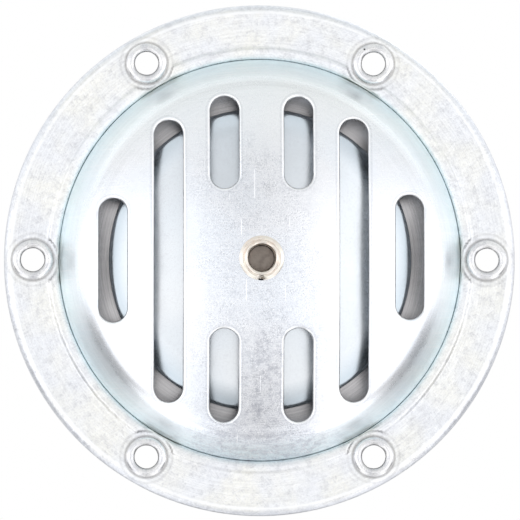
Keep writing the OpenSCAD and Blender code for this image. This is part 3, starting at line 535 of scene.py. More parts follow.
def rivet_finish():
    """The rivets' rolled heads, with painted shade in the folds on both sides of the roll."""
    s = Shader("rivet_zinc")
    r, angle, x, z = s.polar()
    q, _ = s.near_rivet(r, angle)
    fine = s.noise(0.35, 3, rough=0.8)
    patches = s.ramp(s.noise(1.6, 4, rough=0.7), (0.36, 0.0), (0.6, 1.0))
    s.colour = s.mix(patches, (0.76, 0.76, 0.78), (0.90, 0.89, 0.88))
    s.tint(s.ramp(fine, (0.40, 0.25), (0.55, 0.0)), (0.45, 0.45, 0.47))
    # Painted shade in the folds at the head's outer edge and round its bore
    fold_shade = s.times(s.map(q, 3.7, 4.05), 0.4)
    fold_shade = s.most(fold_shade, s.times(s.band(q, 2.5, 0.32, 0.1), 0.3))
    s.tint(fold_shade, (0.32, 0.31, 0.31))
    # One black speck, on the upper right rivet
    speck = s.hypot(s.minus(x, 20.4), s.minus(z, 41.2))
    s.tint(s.map(speck, 0.24, 0.12), (0.03, 0.03, 0.03))
    s.set("Base Color", s.colour)
    s.gloss(0.20, 0.34, 1.2, 3)
    s.set("Normal", s.bump(fine, 0.008, s.bump(s.noise(1.4, 3), 0.02)))
    return s.material


def diaphragm_finish():
    """Spring steel spun about the horn's axis."""
    s = Shader("diaphragm_steel_finish", Anisotropic=0.85, Anisotropic_Rotation=0.25)
    s.set("Tangent", s.node("Tangent", direction_type="RADIAL", axis="Y").outputs[0])
    rings = s.streaks(0.3, 40.0, 2)
    lines = s.ramp(rings, (0.38, 0.0), (0.62, 1.0))
    s.set("Base Color", s.mix(lines, (0.56, 0.545, 0.545), (0.64, 0.62, 0.62)))
    s.gloss(0.22, 0.27, 8.0, 2)
    s.set("Normal", s.bump(rings, 0.002))
    return s.material


def tone_finish():
    """The tone disc: smooth zinc, with painted shade that darkens it towards its rim and makes it darker and
    bluer above.
    """
    s = Shader("tone_zinc")
    r, _, _, z = s.polar()
    patches = s.ramp(s.noise(22, 2), (0.36, 0.0), (0.66, 1.0))
    s.colour = s.mix(patches, (0.80, 0.835, 0.865), (0.85, 0.87, 0.885))
    # Painted shade: darker towards the rim
    s.tint(s.times(s.map(r, 24.6, 28.2), 0.85), (0.53, 0.60, 0.65))
    # Painted shade: darker and bluer towards the top
    s.tint(s.times(s.map(z, 4, 26), 0.6), (0.75, 0.82, 0.88))
    fine = s.noise(0.4, 3, rough=0.7)
    s.tint(s.ramp(fine, (0.36, 0.10), (0.5, 0.0)), (0.5, 0.5, 0.55))
    s.set("Base Color", s.colour)
    s.gloss(0.19, 0.25, 6.0, 3)
    s.set("Normal", s.bump(s.streaks(0.5, 60.0, 2), 0.0015, s.bump(fine, 0.001)))
    return s.material


def turned_finish(name, colour, dark, rough):
    """Bare or plated metal turned about the horn's axis."""
    s = Shader(name)
    rings = s.streaks(0.18, 30.0, 2)
    spots = s.noise(1.2, 4, rough=0.7)
    s.set("Base Color", s.mix(s.ramp(spots, (0.3, 0.0), (0.7, 1.0)), dark, colour))
    s.gloss(rough - 0.04, rough + 0.05, 5.0, 3)
    s.set("Normal", s.bump(rings, 0.0025, s.bump(spots, 0.002)))
    return s.material


def bush_finish():
    """Brass with a pink tarnish, and a dark chisel nick at the flange's lowest point."""
    s = Shader("bush_brass")
    nick_at = (0.0, -0.0409, -0.0041)
    off = s.node("VectorMath", (0, s.object), (1, nick_at), operation="DISTANCE").outputs["Value"]
    nick = s.map(s.plus(off, s.times(s.noise(0.35, 2), 0.0007)), 0.00125, 0.00085)
    tone = s.ramp(
        s.noise(1.8, 4, rough=0.7),
        (0.34, (0.88, 0.76, 0.66)), (0.5, (0.93, 0.86, 0.78)), (0.7, (0.94, 0.90, 0.80)),
    )
    s.colour = s.mix(nick, tone, (0.20, 0.17, 0.13))
    rings = s.streaks(0.22, 26.0, 2)
    s.shade(s.ramp(rings, (0.38, 0.84), (0.6, 1.0)))
    s.set("Base Color", s.colour)
    s.gloss(0.24, 0.38, 1.0, 3)
    s.set("Normal", s.bump(rings, 0.012, s.bump(s.noise(0.6, 3), 0.012)))
    return s.material


def copper_finish():
    """Enamelled wire wound in layers round the axis."""
    s = Shader("copper_wire", Coat_Weight=0.5, Coat_Roughness=0.15)
    wire = 0.0006
    xyz = s.node("SeparateXYZ", (0, s.object))
    turns = s.math("SINE", s.times(xyz.outputs["Y"], 2 * pi / wire))
    s.set("Base Color", s.mix(s.noise(2.0, 3), (0.42, 0.13, 0.05), (0.72, 0.30, 0.13)))
    s.gloss(0.24, 0.34, 1.5, 2)
    s.set("Normal", s.bump(s.map(turns, -1, 1), 0.2))
    return s.material


FINISH = {
    "ring": ring_finish(),
    "grille": grille_finish(),
    "rivet": rivet_finish(),
    "bush": bush_finish(),
    "copper": copper_finish(),
    "housing": zinc("housing_zinc", (0.70, 0.76, 0.81), (0.82, 0.83, 0.80), 0.27, 0.35, 0.004, 18.0),
    "hardware": zinc("hardware_zinc", (0.45, 0.49, 0.53), (0.57, 0.56, 0.52), 0.24, 0.3, 0.003, 7.0),
    "tone": tone_finish(),
    "diaphragm": diaphragm_finish(),
    "stem": turned_finish("stem_steel_finish", (0.27, 0.235, 0.205), (0.19, 0.16, 0.14), 0.40),
    "iron": turned_finish("soft_iron_finish", (0.36, 0.36, 0.37), (0.22, 0.22, 0.23), 0.42),
    "gasket": plain("gasket_fibre", (0.36, 0.26, 0.18), (0.24, 0.17, 0.12), 0.8, 0.4),
    "bobbin": plain("bobbin_phenolic", (0.24, 0.08, 0.05), (0.13, 0.04, 0.03), 0.4, 2.0),
    "laminate": plain("laminate_sheet", (0.42, 0.24, 0.11), (0.30, 0.16, 0.07), 0.5, 0.7),
    "bronze": plain("spring_bronze_finish", (0.78, 0.56, 0.30), (0.62, 0.42, 0.20), 0.3, 1.5, 1.0, 0.003),
    "contact": plain("contact_tungsten", (0.70, 0.70, 0.70), (0.45, 0.45, 0.46), 0.25, 0.5, 1.0, 0.003),
    "ceramic": plain("resistor_coating", (0.80, 0.74, 0.60), (0.68, 0.62, 0.50), 0.55, 0.6),
    "terminal": plain("terminal_brass_finish", (0.80, 0.71, 0.52), (0.64, 0.55, 0.39), 0.28, 1.6, 1.0, 0.004),
    "sleeve": plain("woven_sleeve", (0.06, 0.06, 0.06), (0.02, 0.02, 0.02), 0.75, 0.3, relief=0.05),
}


# ---- grille

# The sheet, the depth of the slots' rolled edges, and the section's radii and heights
GRILLE_T, ROLL = 0.9, 0.55
SHOULDER_AXIS, SHOULDER_R, CROWN_R, PAD_R = (30.38, 29.14), 7.0, 120.0, 5.0
NECK_R, NECK_Z, NECK_BEND = 39.2, 28.72, 1.0
# Middle and length of each slot, as punched
SLOTS = [
    (-17.95, -0.45, 54.7), (18.0, -0.3, 54.9), (-28.7, -0.3, 24.0), (28.85, 0.35, 24.1),
    (-7.1, 22.55, 18.1), (7.25, 22.45, 18.0), (-7.2, -22.6, 18.1), (7.2, -22.55, 18.1),
]


def dome_section():
    """The dome's front face from the flange inward: radius, height and normal."""
    crown = np.array((0.0, Z_PAD - sqrt(CROWN_R ** 2 - PAD_R ** 2)))
    shoulder = np.array(SHOULDER_AXIS)
    edge = atan2(*(shoulder - crown)[::-1])
    rows = [(FLANGE_R, Z_GRILLE, 0, 1)]
    foot = 0.12
    for k in range(7):
        t = -pi / 2 - (pi / 2 - 0.04) * k / 6
        n = -unit(t)
        rows.append((*(np.array((NECK_R + 0.03 + foot, Z_GRILLE + foot)) - foot * n), *n))
    bend = np.array((NECK_R - NECK_BEND, NECK_Z))
    across = shoulder - bend
    tilt = atan2(across[1], across[0]) - acos((NECK_BEND - SHOULDER_R) / np.linalg.norm(across))

    def arc(centre, radius, start, end, first, count):
        for k in range(first, count + 1):
            n = unit(start + (end - start) * k / count)
            rows.append((*(centre + radius * n), *n))

    arc(bend, NECK_BEND, 0.04, tilt, 0, 12)
    low, high = np.array(rows[-1][:2]), shoulder + SHOULDER_R * unit(tilt)
    for k in range(1, 16):
        rows.append((*(low + (high - low) * k / 16), *unit(tilt)))
    arc(shoulder, SHOULDER_R, tilt, edge, 0, 40)
    arc(crown, CROWN_R, edge, acos(PAD_R / CROWN_R), 1, 40)
    rows += [(PAD_R - 0.4, Z_PAD, 0, 1), (0.0, Z_PAD, 0, 1)]
    rows = np.array(rows)[::-1]
    # The shoulder runs into the sloping wall without a visible line
    run = np.concatenate([[0], np.cumsum(np.hypot(np.diff(rows[:, 0]), np.diff(rows[:, 1])))])
    lean, gap = np.arctan2(rows[:, 3], rows[:, 2]), np.gradient(run)
    for i in np.nonzero((rows[:, 0] > 32) & (rows[:, 0] < 38.7))[0]:
        weight = np.exp(-((run - run[i]) / 1.1) ** 2) * gap
        eased = (weight * lean).sum() / weight.sum()
        rows[i, 2:] = cos(eased), sin(eased)
    return rows


DOME = dome_section()
INNER = np.stack([DOME[:, 0] - GRILLE_T * DOME[:, 2], DOME[:, 1] - GRILLE_T * DOME[:, 3]], axis=1)


def slot_distance(x, y):
    """Distance outside the nearest slot's edge, and the direction away from it."""
    best = np.full(np.shape(x), 1e9)
    gx, gy = np.zeros_like(best), np.zeros_like(best)
    for cx, cy, slot_l in SLOTS:
        over = np.maximum(np.abs(y - cy) - (slot_l / 2 - SLOT_R), 0) * np.sign(y - cy)
        far = np.hypot(x - cx, over)
        near = far - SLOT_R < best
        safe = np.maximum(far, 1e-9)
        best = np.where(near, far - SLOT_R, best)
        gx, gy = np.where(near, (x - cx) / safe, gx), np.where(near, over / safe, gy)
    return best, gx, gy


def dome_front(x, y):
    """The dome's front and its normals, rolled down at the slots' edges."""
    r = np.maximum(np.hypot(x, y), 1e-9)
    z, nr, nz = (np.interp(r, DOME[:, 0], DOME[:, k]) for k in (1, 2, 3))
    d, gx, gy = slot_distance(x, y)
    t = np.clip(1 - d / ROLL, 0, 1) * 0.94
    root = np.sqrt(1 - t * t)
    slope = t / root
    n = np.stack([nr / nz * x / r - slope * gx, nr / nz * y / r - slope * gy, np.ones_like(r)], axis=1)
    return np.stack([x, y, z - ROLL * (1 - root)], axis=1), normed(n)


def dome_back(x, y):
    """The dome's inner side and its normals."""
    r = np.maximum(np.hypot(x, y), 1e-9)
    z = np.interp(r, INNER[:, 0], INNER[:, 1])
    nr, nz = (np.interp(r, INNER[:, 0], DOME[:, k]) for k in (2, 3))
    n = -np.stack([nr * x / r, nr * y / r, nz], axis=1)
    return np.stack([x, y, z], axis=1), normed(n)


def slot_loop(cx, cy, slot_l, out):
    """Points round a slot, out millimetres outside its edge."""
    half, r, arc = slot_l / 2 - SLOT_R, SLOT_R + out, 26
    straight = max(int(2 * half / 0.9), 4)
    points = []
    for side in (1, -1):
        for k in range(straight):
            points.append((cx + side * r, cy + side * half * (2 * k / straight - 1)))
        for k in range(arc):
            t = pi * k / arc
            points.append((cx + side * r * cos(t), cy + side * (half + r * sin(t))))
    return np.array(points)


def rivet_distance(x, y):
    """Distance from the nearest rivet's axis."""
    return np.min([np.hypot(x - cx, y - cy) for cx, cy in RIVETS], axis=0)


def outside_rivets(x, y, r=RIVET_HOLE):
    """Whether points are farther than r from every rivet's axis."""
    return rivet_distance(x, y) > r * 0.996


def make_grille():
    """The slotted dome with its flange, finest on the steep wall and round the slots."""
    rows = [circle(r, max(int(2 * pi * r / 1.1), 48)) for r in np.arange(4.2, 29.5, 1.15)]
    steep = DOME[(DOME[:, 0] > 29.4) & (DOME[:, 0] < NECK_R + 0.3)][:, :2]
    rows += [circle(r, 400) for r, _ in even(steep, 56)]
    rows += [circle(r, 300) for r in (39.8, 41.0)]
    points = np.vstack(rows)
    d, _, _ = slot_distance(points[:, 0], points[:, 1])
    points = points[d > 0.85]
    loops = [circle(BUSH_HOLE, 96), circle(FLANGE_R, 300)]
    loops += [circle(RIVET_HOLE, 36, c) for c in RIVETS]
    for slot in SLOTS:
        loops += [slot_loop(*slot, out) for out in (0, 0.02, 0.06, 0.12, 0.2, 0.3, 0.42, 0.56, 0.7)]
    plan, triangles = plan_mesh(points, loops, lambda x, y: (
        (np.hypot(x, y) > BUSH_HOLE - 0.005) & (slot_distance(x, y)[0] > 0) & outside_rivets(x, y)
    ))
    return sheet("dome_grille", plan, triangles, dome_front, dome_back, FINISH["grille"])


# ---- clamping ring

# Sections in radius and height: the lip's from the mouth to LIP_END, the same where it's pressed
# flat at a rivet, and the rim's from there to the skirt's edge
LIP_END, LIP_POINTS, SKIRT_Z = 43.0, 61, Z_FACE - 5
SPOT_R, SPOT_EDGE = 5.45, 0.6  # radius of the flat round a rivet, and width of its edge
LIP_ROLL = [
    (40.75 - 1.51 * cos(radians(a)), Z_FACE - 0.02 + 0.62 * sin(radians(a)))
    for a in range(0, 91, 6)
]
LIP_FRONT = even(np.vstack([
    [(MOUTH_R - 0.06, Z_GRILLE + 0.05)], LIP_ROLL,
    bent([
        (40.8, Z_FACE + 0.6, 0), (41.2, Z_FACE + 0.6, 0.55), (41.75, Z_FACE, 0.45), (LIP_END, Z_FACE, 0),
    ]),
]), LIP_POINTS)
LIP_BACK = even(bent([
    (MOUTH_R + 1, Z_GRILLE + 0.05, 0), (MOUTH_R + 1, Z_FACE - 0.4, 0.5),
    (41.6, Z_FACE - 0.4, 0.5), (42.2, Z_GRILLE, 0.4), (LIP_END, Z_GRILLE, 0),
], 12), LIP_POINTS)
SPOT_FRONT = even(bent([
    (MOUTH_R - 0.06, Z_GRILLE + 0.1, 0), (MOUTH_R - 0.06, Z_FACE - 0.05, 0.3),
    (41.0, Z_FACE - 0.05, 2.0), (LIP_END, Z_FACE, 0),
], 12), LIP_POINTS)
SPOT_BACK = even([(MOUTH_R + 0.2, Z_GRILLE + 0.02), (LIP_END, Z_GRILLE)], LIP_POINTS)
RIM_FRONT = bent([(LIP_END, Z_FACE, 0), (RING_R, Z_FACE, 1.5), (RING_R, SKIRT_Z, 0)], 14)
RIM_BACK = bent([(LIP_END, Z_GRILLE, 0), (RING_R - 1, Z_GRILLE, 0.5), (RING_R - 1, SKIRT_Z, 0)], 14)
# Radii in the plan that stand for the sections' points
LIP_RUN = np.linalg.norm(np.diff(LIP_FRONT, axis=0), axis=1).sum()
LIP_AT = LIP_END - LIP_RUN + LIP_RUN * np.linspace(0, 1, LIP_POINTS)
RIM_AT = LIP_END + run_along(RIM_FRONT)


def ring_surface(lip, spot, rim):
    """Place over a plan whose radius runs along the ring's section, from mouth to skirt."""
    def place(x, y):
        along = np.hypot(x, y)
        ux, uy = x / along, y / along

        def on(section, at):
            return np.interp(along, at, section[:, 0]), np.interp(along, at, section[:, 1])

        (r, z), (r2, z2), (r3, z3) = on(lip, LIP_AT), on(spot, LIP_AT), on(rim, RIM_AT)
        far = rivet_distance(r * ux, r * uy)
        t = np.clip((SPOT_R - far) / SPOT_EDGE, 0, 1)
        w = t * t * (3 - 2 * t)
        outer = along > LIP_END
        r = np.where(outer, r3, r + (r2 - r) * w)
        z = np.where(outer, z3, z + (z2 - z) * w)
        # The clamped face isn't quite flat: it dips a little between the rivets
        angle = np.arctan2(y, x)
        flat = np.clip((along - 42.0) / 1.5, 0, 1) * np.clip((48.3 - along) / 1.5, 0, 1)
        wave = 0.022 * np.cos(6 * angle) + 0.012 * np.sin(17 * angle + 0.4) + 0.01 * np.sin(29 * angle)
        z = z + flat * (wave - 0.03)
        return np.stack([r * ux, r * uy, z], axis=1)
    return place


def make_ring():
    """The clamping ring in one sheet: rolled lip, flat face and turned-back skirt."""
    rows = [circle(r, 540) for r in LIP_AT[1::2]]
    rows += [circle(r, 360) for r in np.arange(LIP_END + 0.4, 48.3, 0.75)]
    rows += [circle(r, 480) for r in RIM_AT[1:-1]]
    rows += [circle(RIM_AT[-1] - d, 480) for d in (1.2, 2.4)]
    points = np.vstack(rows)
    points = points[outside_rivets(points[:, 0], points[:, 1], RIVET_HOLE + 0.75)]
    loops = [circle(LIP_AT[0], 540), circle(RIM_AT[-1], 480)]
    for c in RIVETS:
        loops += [circle(r, 48, c) for r in (RIVET_HOLE, RIVET_HOLE + 0.4)]
    plan, triangles = plan_mesh(points, loops, lambda x, y: (
        (np.hypot(x, y) > LIP_AT[0] * 0.9999) & outside_rivets(x, y)
    ))
    front = numeric(ring_surface(LIP_FRONT, SPOT_FRONT, RIM_FRONT))
    back = numeric(ring_surface(LIP_BACK, SPOT_BACK, RIM_BACK), -1)
    return sheet("clamping_ring", plan, triangles, front, back, FINISH["ring"])


# ---- rivets and bush

def make_rivets():
    """Six hollow rivets, each rolled a little differently."""
    random = np.random.default_rng(7)
    back, bore, shank, crest_r = 23.2, 2.25, 2.95, 3.05
    verts, faces = [], []
    for cx, cy in RIVETS:
        squash = random.uniform(-0.05, 0.05, 4)
        crest = Z_FACE + 1.12 + squash[0]
        outer, rise = 4.08 + squash[1] * 0.6, crest - Z_FACE
        roll = [
            (crest_r + (outer - crest_r) * cos(t), Z_FACE + rise * sin(t))
            for t in np.radians(np.arange(0, 91, 9))
        ]
        inner = [
            (crest_r - 0.8 * sin(t), crest - 0.7 + 0.7 * cos(t))
            for t in np.radians(np.arange(9, 91, 9))
        ]
        outline = np.vstack([
            rounded([(bore, back, 0.7), (3.7, back, 0.6), (3.7, Z_FLANGE, 0), (shank, Z_FLANGE, 0)]),
            [(shank, Z_FACE - 0.05), (outer, Z_FACE - 0.05)], roll, inner,
        ])
        part, quads = lathe(outline, 72)
        angle = np.arctan2(part[:, 1], part[:, 0])
        swell = 1 + 0.012 * np.cos(2 * angle + 9 * squash[2])
        swell += 0.006 * np.cos(5 * angle + 30 * squash[3])
        high = np.clip((part[:, 2] - Z_FACE) / 0.5, 0, 1)
        scale = np.where(high > 0, 1 + (swell - 1) * high, 1)
        part[:, :2] = part[:, :2] * scale[:, None] + (cx, cy)
        first = sum(len(v) for v in verts)
        verts.append(part)
        faces.extend([tuple(first + i for i in quad) for quad in quads])
    return build("hollow_rivets", np.vstack(verts), faces, FINISH["rivet"], sharp=40)


def make_bush():
    """The brass bush in the dome's middle, nicked at its flange's lowest point."""
    back = 38.45
    outline = rounded([
        (2.55, back, 0.2), (4.0, back, 0.35), (4.0, 39.3, 0), (3.3, 39.3, 0), (3.3, Z_PAD, 0),
        (4.32, Z_PAD, 0), (4.35, Z_PAD + 0.42, 0.3), (3.7, Z_PAD + 0.78, 0.35),
        (3.42, Z_PAD + 0.7, 0.1), (3.3, Z_PAD + 1.66, 0.2), (3.05, Z_PAD + 1.7, 0.12),
        (2.78, Z_PAD + 1.5, 0.2), (2.58, Z_PAD + 1.2, 0.2), (2.55, Z_PAD + 0.6, 0.3),
    ])
    verts, faces = lathe(outline, 144)
    angle = np.degrees(np.arctan2(verts[:, 1], verts[:, 0]))
    r = np.hypot(verts[:, 0], verts[:, 1])
    # The nick: 12 degrees to either side of -92, outward of the hole
    off = np.abs(angle + 92) / 12
    cut = np.clip(1 - off ** 2, 0, 1) * np.clip((r - BUSH_HOLE) / 0.5, 0, 1)
    cut *= verts[:, 2] > Z_PAD + 0.05
    rough = 0.75 + 0.25 * np.sin(angle * 1.9) * np.cos(r * 9)
    verts[:, 2] -= np.minimum(0.55 * cut * rough, verts[:, 2] - Z_PAD) * (verts[:, 2] > Z_PAD)
    verts[:, :2] *= (1 - 0.09 * cut * rough)[:, None]
    return build("centre_bush_turned", verts, faces, FINISH["bush"], sharp=50)


# ---- tone disc and diaphragm

def make_tone_disc():
    """Flat hub, a shallow cone, and a rim that rolls down towards the diaphragm."""
    hub_r, rim_r, cone = 9, 29.5, 1.8
    rows = np.linspace(hub_r, rim_r - 0.3, 48)
    drop = cone * ((rows - hub_r) / (rim_r - hub_r)) ** 1.2
    roll = 0.45 * np.clip((rows - 23.6) / 5.6, 0, 1) ** 2.8
    top, low = Z_TONE + 1, Z_TONE - cone
    front = [(STEM_HOLE, top)] + [(r, top - d) for r, d in zip(rows, drop + roll)]
    rim = [(29.38, low + 0.43), (29.47, low + 0.35), (rim_r, low + 0.25), (rim_r, low)]
    back = [(r, Z_TONE - d) for r, d in zip(rows[:-4:4], drop[:-4:4])][::-1] + [(STEM_HOLE, Z_TONE)]
    verts, faces = lathe(np.array(front + rim + back)[::-1], 256)
    return build("tone_disc_spun", verts, faces, FINISH["tone"], sharp=50)


def make_diaphragm():
    """Thin spring-steel diaphragm, dished forward to its hub, with the rim's six holes."""
    line = even(bent([
        (STEM_HOLE, Z_HUB, 0), (12.0, Z_HUB, 6), (39.0, Z_DIAPHRAGM, 4), (FLANGE_R, Z_DIAPHRAGM, 0),
    ], 10), 200)

    def at(lift):
        def place(x, y):
            r = np.hypot(x, y)
            return np.stack([x, y, np.interp(r, line[:, 0], line[:, 1]) + lift], axis=1)
        return place

    rows = [circle(r, max(int(2 * pi * r / 1.2), 60)) for r in np.arange(4.0, 40.5, 0.8)]
    rows += [circle(41.2, 200)]
    loops = [circle(STEM_HOLE, 60), circle(FLANGE_R, 240)]
    loops += [circle(RIVET_HOLE, 30, c) for c in RIVETS]
    plan, triangles = plan_mesh(np.vstack(rows), loops, lambda x, y: (
        (np.hypot(x, y) > STEM_HOLE - 0.01) & outside_rivets(x, y)
    ))
    return sheet(
        "diaphragm_spun", plan, triangles, numeric(at(0.4)), numeric(at(0.0), -1), FINISH["diaphragm"],
    )


def make_leaf():
    """The breaker's leaf spring, wide where it's clamped, round at its free end, cut fine along its length.
    """
    low, high, clamped, free = 17.4, 17.8, 29.5, 20.5
    ys = np.concatenate([np.linspace(39.5, clamped, 6), np.linspace(clamped - 0.1, 18.6, 40)])
    verts, faces = [], []
    for y in ys:
        w = 3.0 if y >= clamped else 2.0
        if y <= free:
            w = sqrt(max(4.0 - (free - y) ** 2, 0.09))
        verts += [(-w, y, low), (w, y, low), (w, y, high), (-w, y, high)]
    for i in range(len(ys) - 1):
        a, b = 4 * i, 4 * i + 4
        faces += [(a + k, b + k, b + (k + 1) % 4, a + (k + 1) % 4) for k in range(4)]
    last = 4 * (len(ys) - 1)
    faces += [(0, 1, 2, 3), (last + 3, last + 2, last + 1, last)]
    return build("leaf_spring", verts, faces, FINISH["bronze"], sharp=30)


# ---- threads

def threaded(name, outline, major, pitch, depth, low, high, material, steps):
    """Turned solid whose wall between low and high carries a helical thread."""
    rows = []
    fine, core, runout = pitch / 12, major * 0.6, 0.6 * pitch
    for (r0, z0), (r1, z1) in zip(outline[:-1], outline[1:]):
        count = 1
        if abs(r0 - r1) < 1e-6 and abs(r0 - major) < 1e-6:
            count = max(int(abs(z1 - z0) / fine), 1)
        elif min(z0, z1) < high and max(z0, z1) > low and abs(z1 - z0) > 0.2 and r0 > core:
            count = 10
        rows += [(r0 + (r1 - r0) * k / count, z0 + (z1 - z0) * k / count) for k in range(count)]
    rows.append(outline[-1])
    verts, faces = solid_lathe(rows, steps)
    x, y, z = verts.T
    r = np.hypot(x, y)
    phase = np.mod(z / pitch - np.arctan2(y, x) / (2 * pi), 1.0)
    groove = np.clip(1 - np.abs(phase - 0.5) / 0.44, 0, 1)
    ends = np.clip((z - low) / runout, 0, 1) * np.clip((high - z) / runout, 0, 1)
    limit = major - depth * groove * ends
    cut = (r > limit) & (r > core) & (z > low) & (z < high)
    verts[:, :2] *= np.where(cut, limit / np.maximum(r, 1e-9), 1)[:, None]
    return build(name, verts, faces, material, sharp=55)


def make_core():
    """Magnet core with its plain M10 neck and the M8 mounting stud, which is threaded."""
    outline = [
        (0, -14), (3.0, -14), (4, -13), (4, 0), (4.0, 0.0), (5, 0.02), (5, 9.2), (6.5, 9.2),
        (6.5, 20.7), (6.0, 21.2), (0, 21.2),
    ]
    return threaded("core_and_stud", outline, 4.0, 1.25, 0.65, -14.2, -0.2, FINISH["hardware"], 72)


# ---- pieces on their bodies

def place(piece, body, slot, *replaced):
    """Puts a piece on its body, in place of the nodes that it stands for; slot is not used."""
    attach(piece, body)
    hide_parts(*replaced)


place(make_ring(), "housing", "zinc_ring", "front_ring")
place(make_grille(), "housing", "zinc_grille", "grille")
place(make_rivets(), "housing", "zinc_rivet", "rim_rivets")
place(make_bush(), "housing", "brass_bush", "centre_bush")
place(make_core(), "housing", "zinc_hardware", "magnet_core")
place(make_tone_disc(), "armature", "tone_steel", "tone_disc")
skin = make_diaphragm()
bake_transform(skin)
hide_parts("diaphragm")
leaf = make_leaf()
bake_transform(leaf)
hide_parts("contact_spring")

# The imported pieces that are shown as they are, by finish
CAD_FINISH = {
    "gasket": "front_gasket rear_gasket",
    "housing": "rear_housing",
    "iron": "armature magnet_yoke",
    "stem": "armature_stem",
    "hardware": "spacer_washer tone_disc_washer stem_nut core_washer core_nut breaker_clamp_plate"
                " adjuster_insert adjusting_screw adjuster_lock_nut",
    "bobbin": "coil_bobbin",
    "copper": "coil_winding coil_leads",
    "laminate": "base_insulator push_pin stack_insulator top_insulator terminal_plate"
                " inner_terminal_plate",
    "contact": "moving_contact fixed_contact",
    "bronze": "contact_carrier",
    "rivet": "breaker_rivets",
    "ceramic": "spark_resistor",
    "terminal": "terminal_blades terminal_rivets",
    "sleeve": "link_wire",
}
for finish, names in CAD_FINISH.items():
    for name in names.split():
        if not nodes[name].data.materials:
            nodes[name].data.materials.append(FINISH[finish])
        for slot in nodes[name].material_slots:
            slot.material = FINISH[finish]


# ---- studio

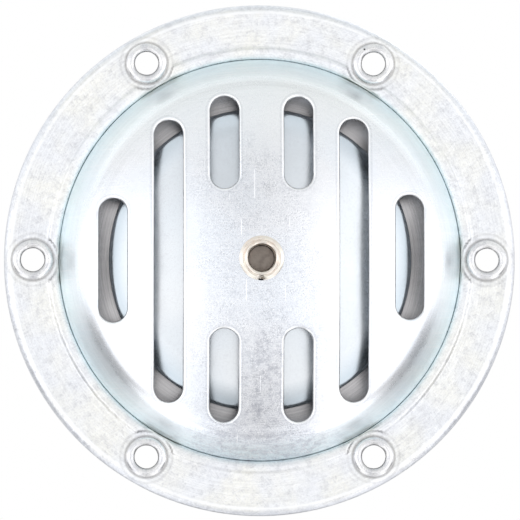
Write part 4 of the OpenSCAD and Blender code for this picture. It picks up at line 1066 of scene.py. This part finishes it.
def make_world():
    """A pale studio: tall soft lights to both sides, dimmer above, below and behind."""
    world = bpy.data.worlds.new("studio")
    scene.world = world
    world.use_nodes = True
    tree = world.node_tree
    tree.nodes.clear()

    def node(kind, *links, **settings):
        return add_node(tree, kind, links, settings)

    def calc(operation, a, b=0.0):
        return node("Math", (0, a), (1, b), operation=operation).outputs[0]

    def step(value, start, end):
        """0 before start, 1 after end, smooth between; start may be the larger."""
        low, high = sorted((start, end))
        ends = (0.0, 1.0) if start < end else (1.0, 0.0)
        return node(
            "MapRange", (0, value), (1, low), (2, high), (3, ends[0]), (4, ends[1]),
            interpolation_type="SMOOTHSTEP",
        ).outputs[0]

    def cap(direction, inner, outer):
        """1 within inner degrees of a direction, 0 beyond outer degrees."""
        d = Vector(direction).normalized()
        dot = node("VectorMath", (0, way), (1, tuple(d)), operation="DOT_PRODUCT").outputs["Value"]
        return step(dot, cos(radians(outer)), cos(radians(inner)))

    def product(*values):
        total = values[0]
        for value in values[1:]:
            total = calc("MULTIPLY", total, value)
        return total

    way = node("TexCoord").outputs["Generated"]
    x, y, z = node("SeparateXYZ", (0, way)).outputs
    far = calc("ABSOLUTE", x)
    parts = [
        # Soft lights to both sides
        (0.46, product(
            step(far, 0.14, 0.21), step(z, 0.32, 0.18), step(z, -0.94, -0.70), step(y, 0.25, -0.45),
        )),
        # Dimmer just above and below the camera
        (-0.27, product(step(far, 0.17, 0.05), step(z, 0.10, 0.22), step(z, 0.46, 0.33))),
        (-0.28, product(step(far, 0.26, 0.08), step(z, -0.24, -0.40), step(z, -0.80, -0.55))),
        (0.12, product(step(far, 0.16, 0.08), step(z, -0.09, -0.15), step(z, -0.30, -0.22))),
        # Brighter all round the rim, most of all low on either side, and dimmer straight below
        (0.18, step(y, -0.36, -0.08)),
        (0.50, cap((-0.50, -0.2, -0.85), 6, 20)),
        (0.50, cap((0.50, -0.2, -0.85), 6, 20)),
        (-0.20, product(step(far, 0.34, 0.14), step(z, -0.78, -0.92))),
        (-0.14, step(z, 0.78, 0.95)),
        # Darker behind the horn
        (-0.38, step(y, 0.42, 0.80)),
        (-0.22, product(step(y, 0.42, 0.75), step(z, 0.12, -0.22))),
        (0.22, product(step(y, 0.42, 0.75), step(z, 0.34, 0.60))),
    ]
    level = 0.95
    for amount, part in parts:
        level = calc("ADD", level, calc("MULTIPLY", part, amount))
    # A dark screen low on either side
    screen = product(
        step(y, -0.56, -0.34), step(y, 0.42, 0.18), step(z, -0.18, -0.36), step(z, -0.80, -0.66),
    )
    level = calc("MULTIPLY", level, calc("SUBTRACT", 1.0, calc("MULTIPLY", screen, 0.66)))
    # A little bluer from above
    tint = node(
        "Mix", (0, step(z, 0.1, 0.9)), (6, (0.99, 1.0, 1.02, 1)), (7, (0.96, 0.99, 1.0, 1)),
        data_type="RGBA",
    )
    studio = node("Background", ("Color", tint.outputs[2]), ("Strength", level)).outputs[0]
    white = node("Background", ("Color", (1, 1, 1, 1)), ("Strength", 1.0)).outputs[0]
    seen = node("LightPath").outputs["Is Camera Ray"]
    both = node("MixShader", (0, seen), (1, studio), (2, white)).outputs[0]
    node("OutputWorld", ("Surface", both))


def area(name, at, size, power):
    """A rectangular light that faces the horn."""
    light = bpy.data.lights.new(name, "AREA")
    light.shape = "RECTANGLE"
    light.size, light.size_y = size
    light.energy = power
    lamp = add(name, light)
    lamp.location = at
    lamp.rotation_euler = (-Vector(at)).to_track_quat("-Z", "Y").to_euler()


make_world()
area("softbox_left", (-1.1, -0.6, 0.1), (0.5, 0.8), 0.4)
area("softbox_right", (1.1, -0.6, 0.1), (0.5, 0.8), 0.4)
area("softbox_rear", (0.5, 0.8, 0.7), (0.5, 0.5), 1.0)

# A round floor below the horn, in the row frame's axes
floor_r, floor_low, floor_top = 350, -64, -62
floor_v, floor_f = solid_lathe([
    (0, floor_low), (floor_r, floor_low), (floor_r, floor_top), (0, floor_top),
], 96)
floor_mesh = bpy.data.meshes.new("studio_floor")
floor_mesh.from_pydata((floor_v / 1000).tolist(), [], floor_f)
floor = add("studio_floor", floor_mesh)
floor_paint = plain("floor_paint", (0.86, 0.86, 0.86), (0.84, 0.84, 0.84), 0.7, 30.0, relief=0.0)
floor_mesh.materials.append(floor_paint)
floor.visible_glossy = False

camera = add("camera", bpy.data.cameras.new("camera"))
scene.camera = camera
camera.data.sensor_width = 36.0
camera.data.lens = 319.0
azimuth, elevation, distance = radians(-1.7), radians(-2.0), 0.9
away = Vector((sin(azimuth) * cos(elevation), -cos(azimuth) * cos(elevation), sin(elevation)))
target = Vector((0, -0.0287, 0))
camera.location = target + away * distance
camera.rotation_euler = (-away).to_track_quat("-Z", "Y").to_euler()
camera.data.clip_start, camera.data.clip_end = 0.05, 10.0

view = scene.view_settings
view.view_transform, view.look = "Standard", "None"
view.exposure, view.gamma = 0.0, 1.0
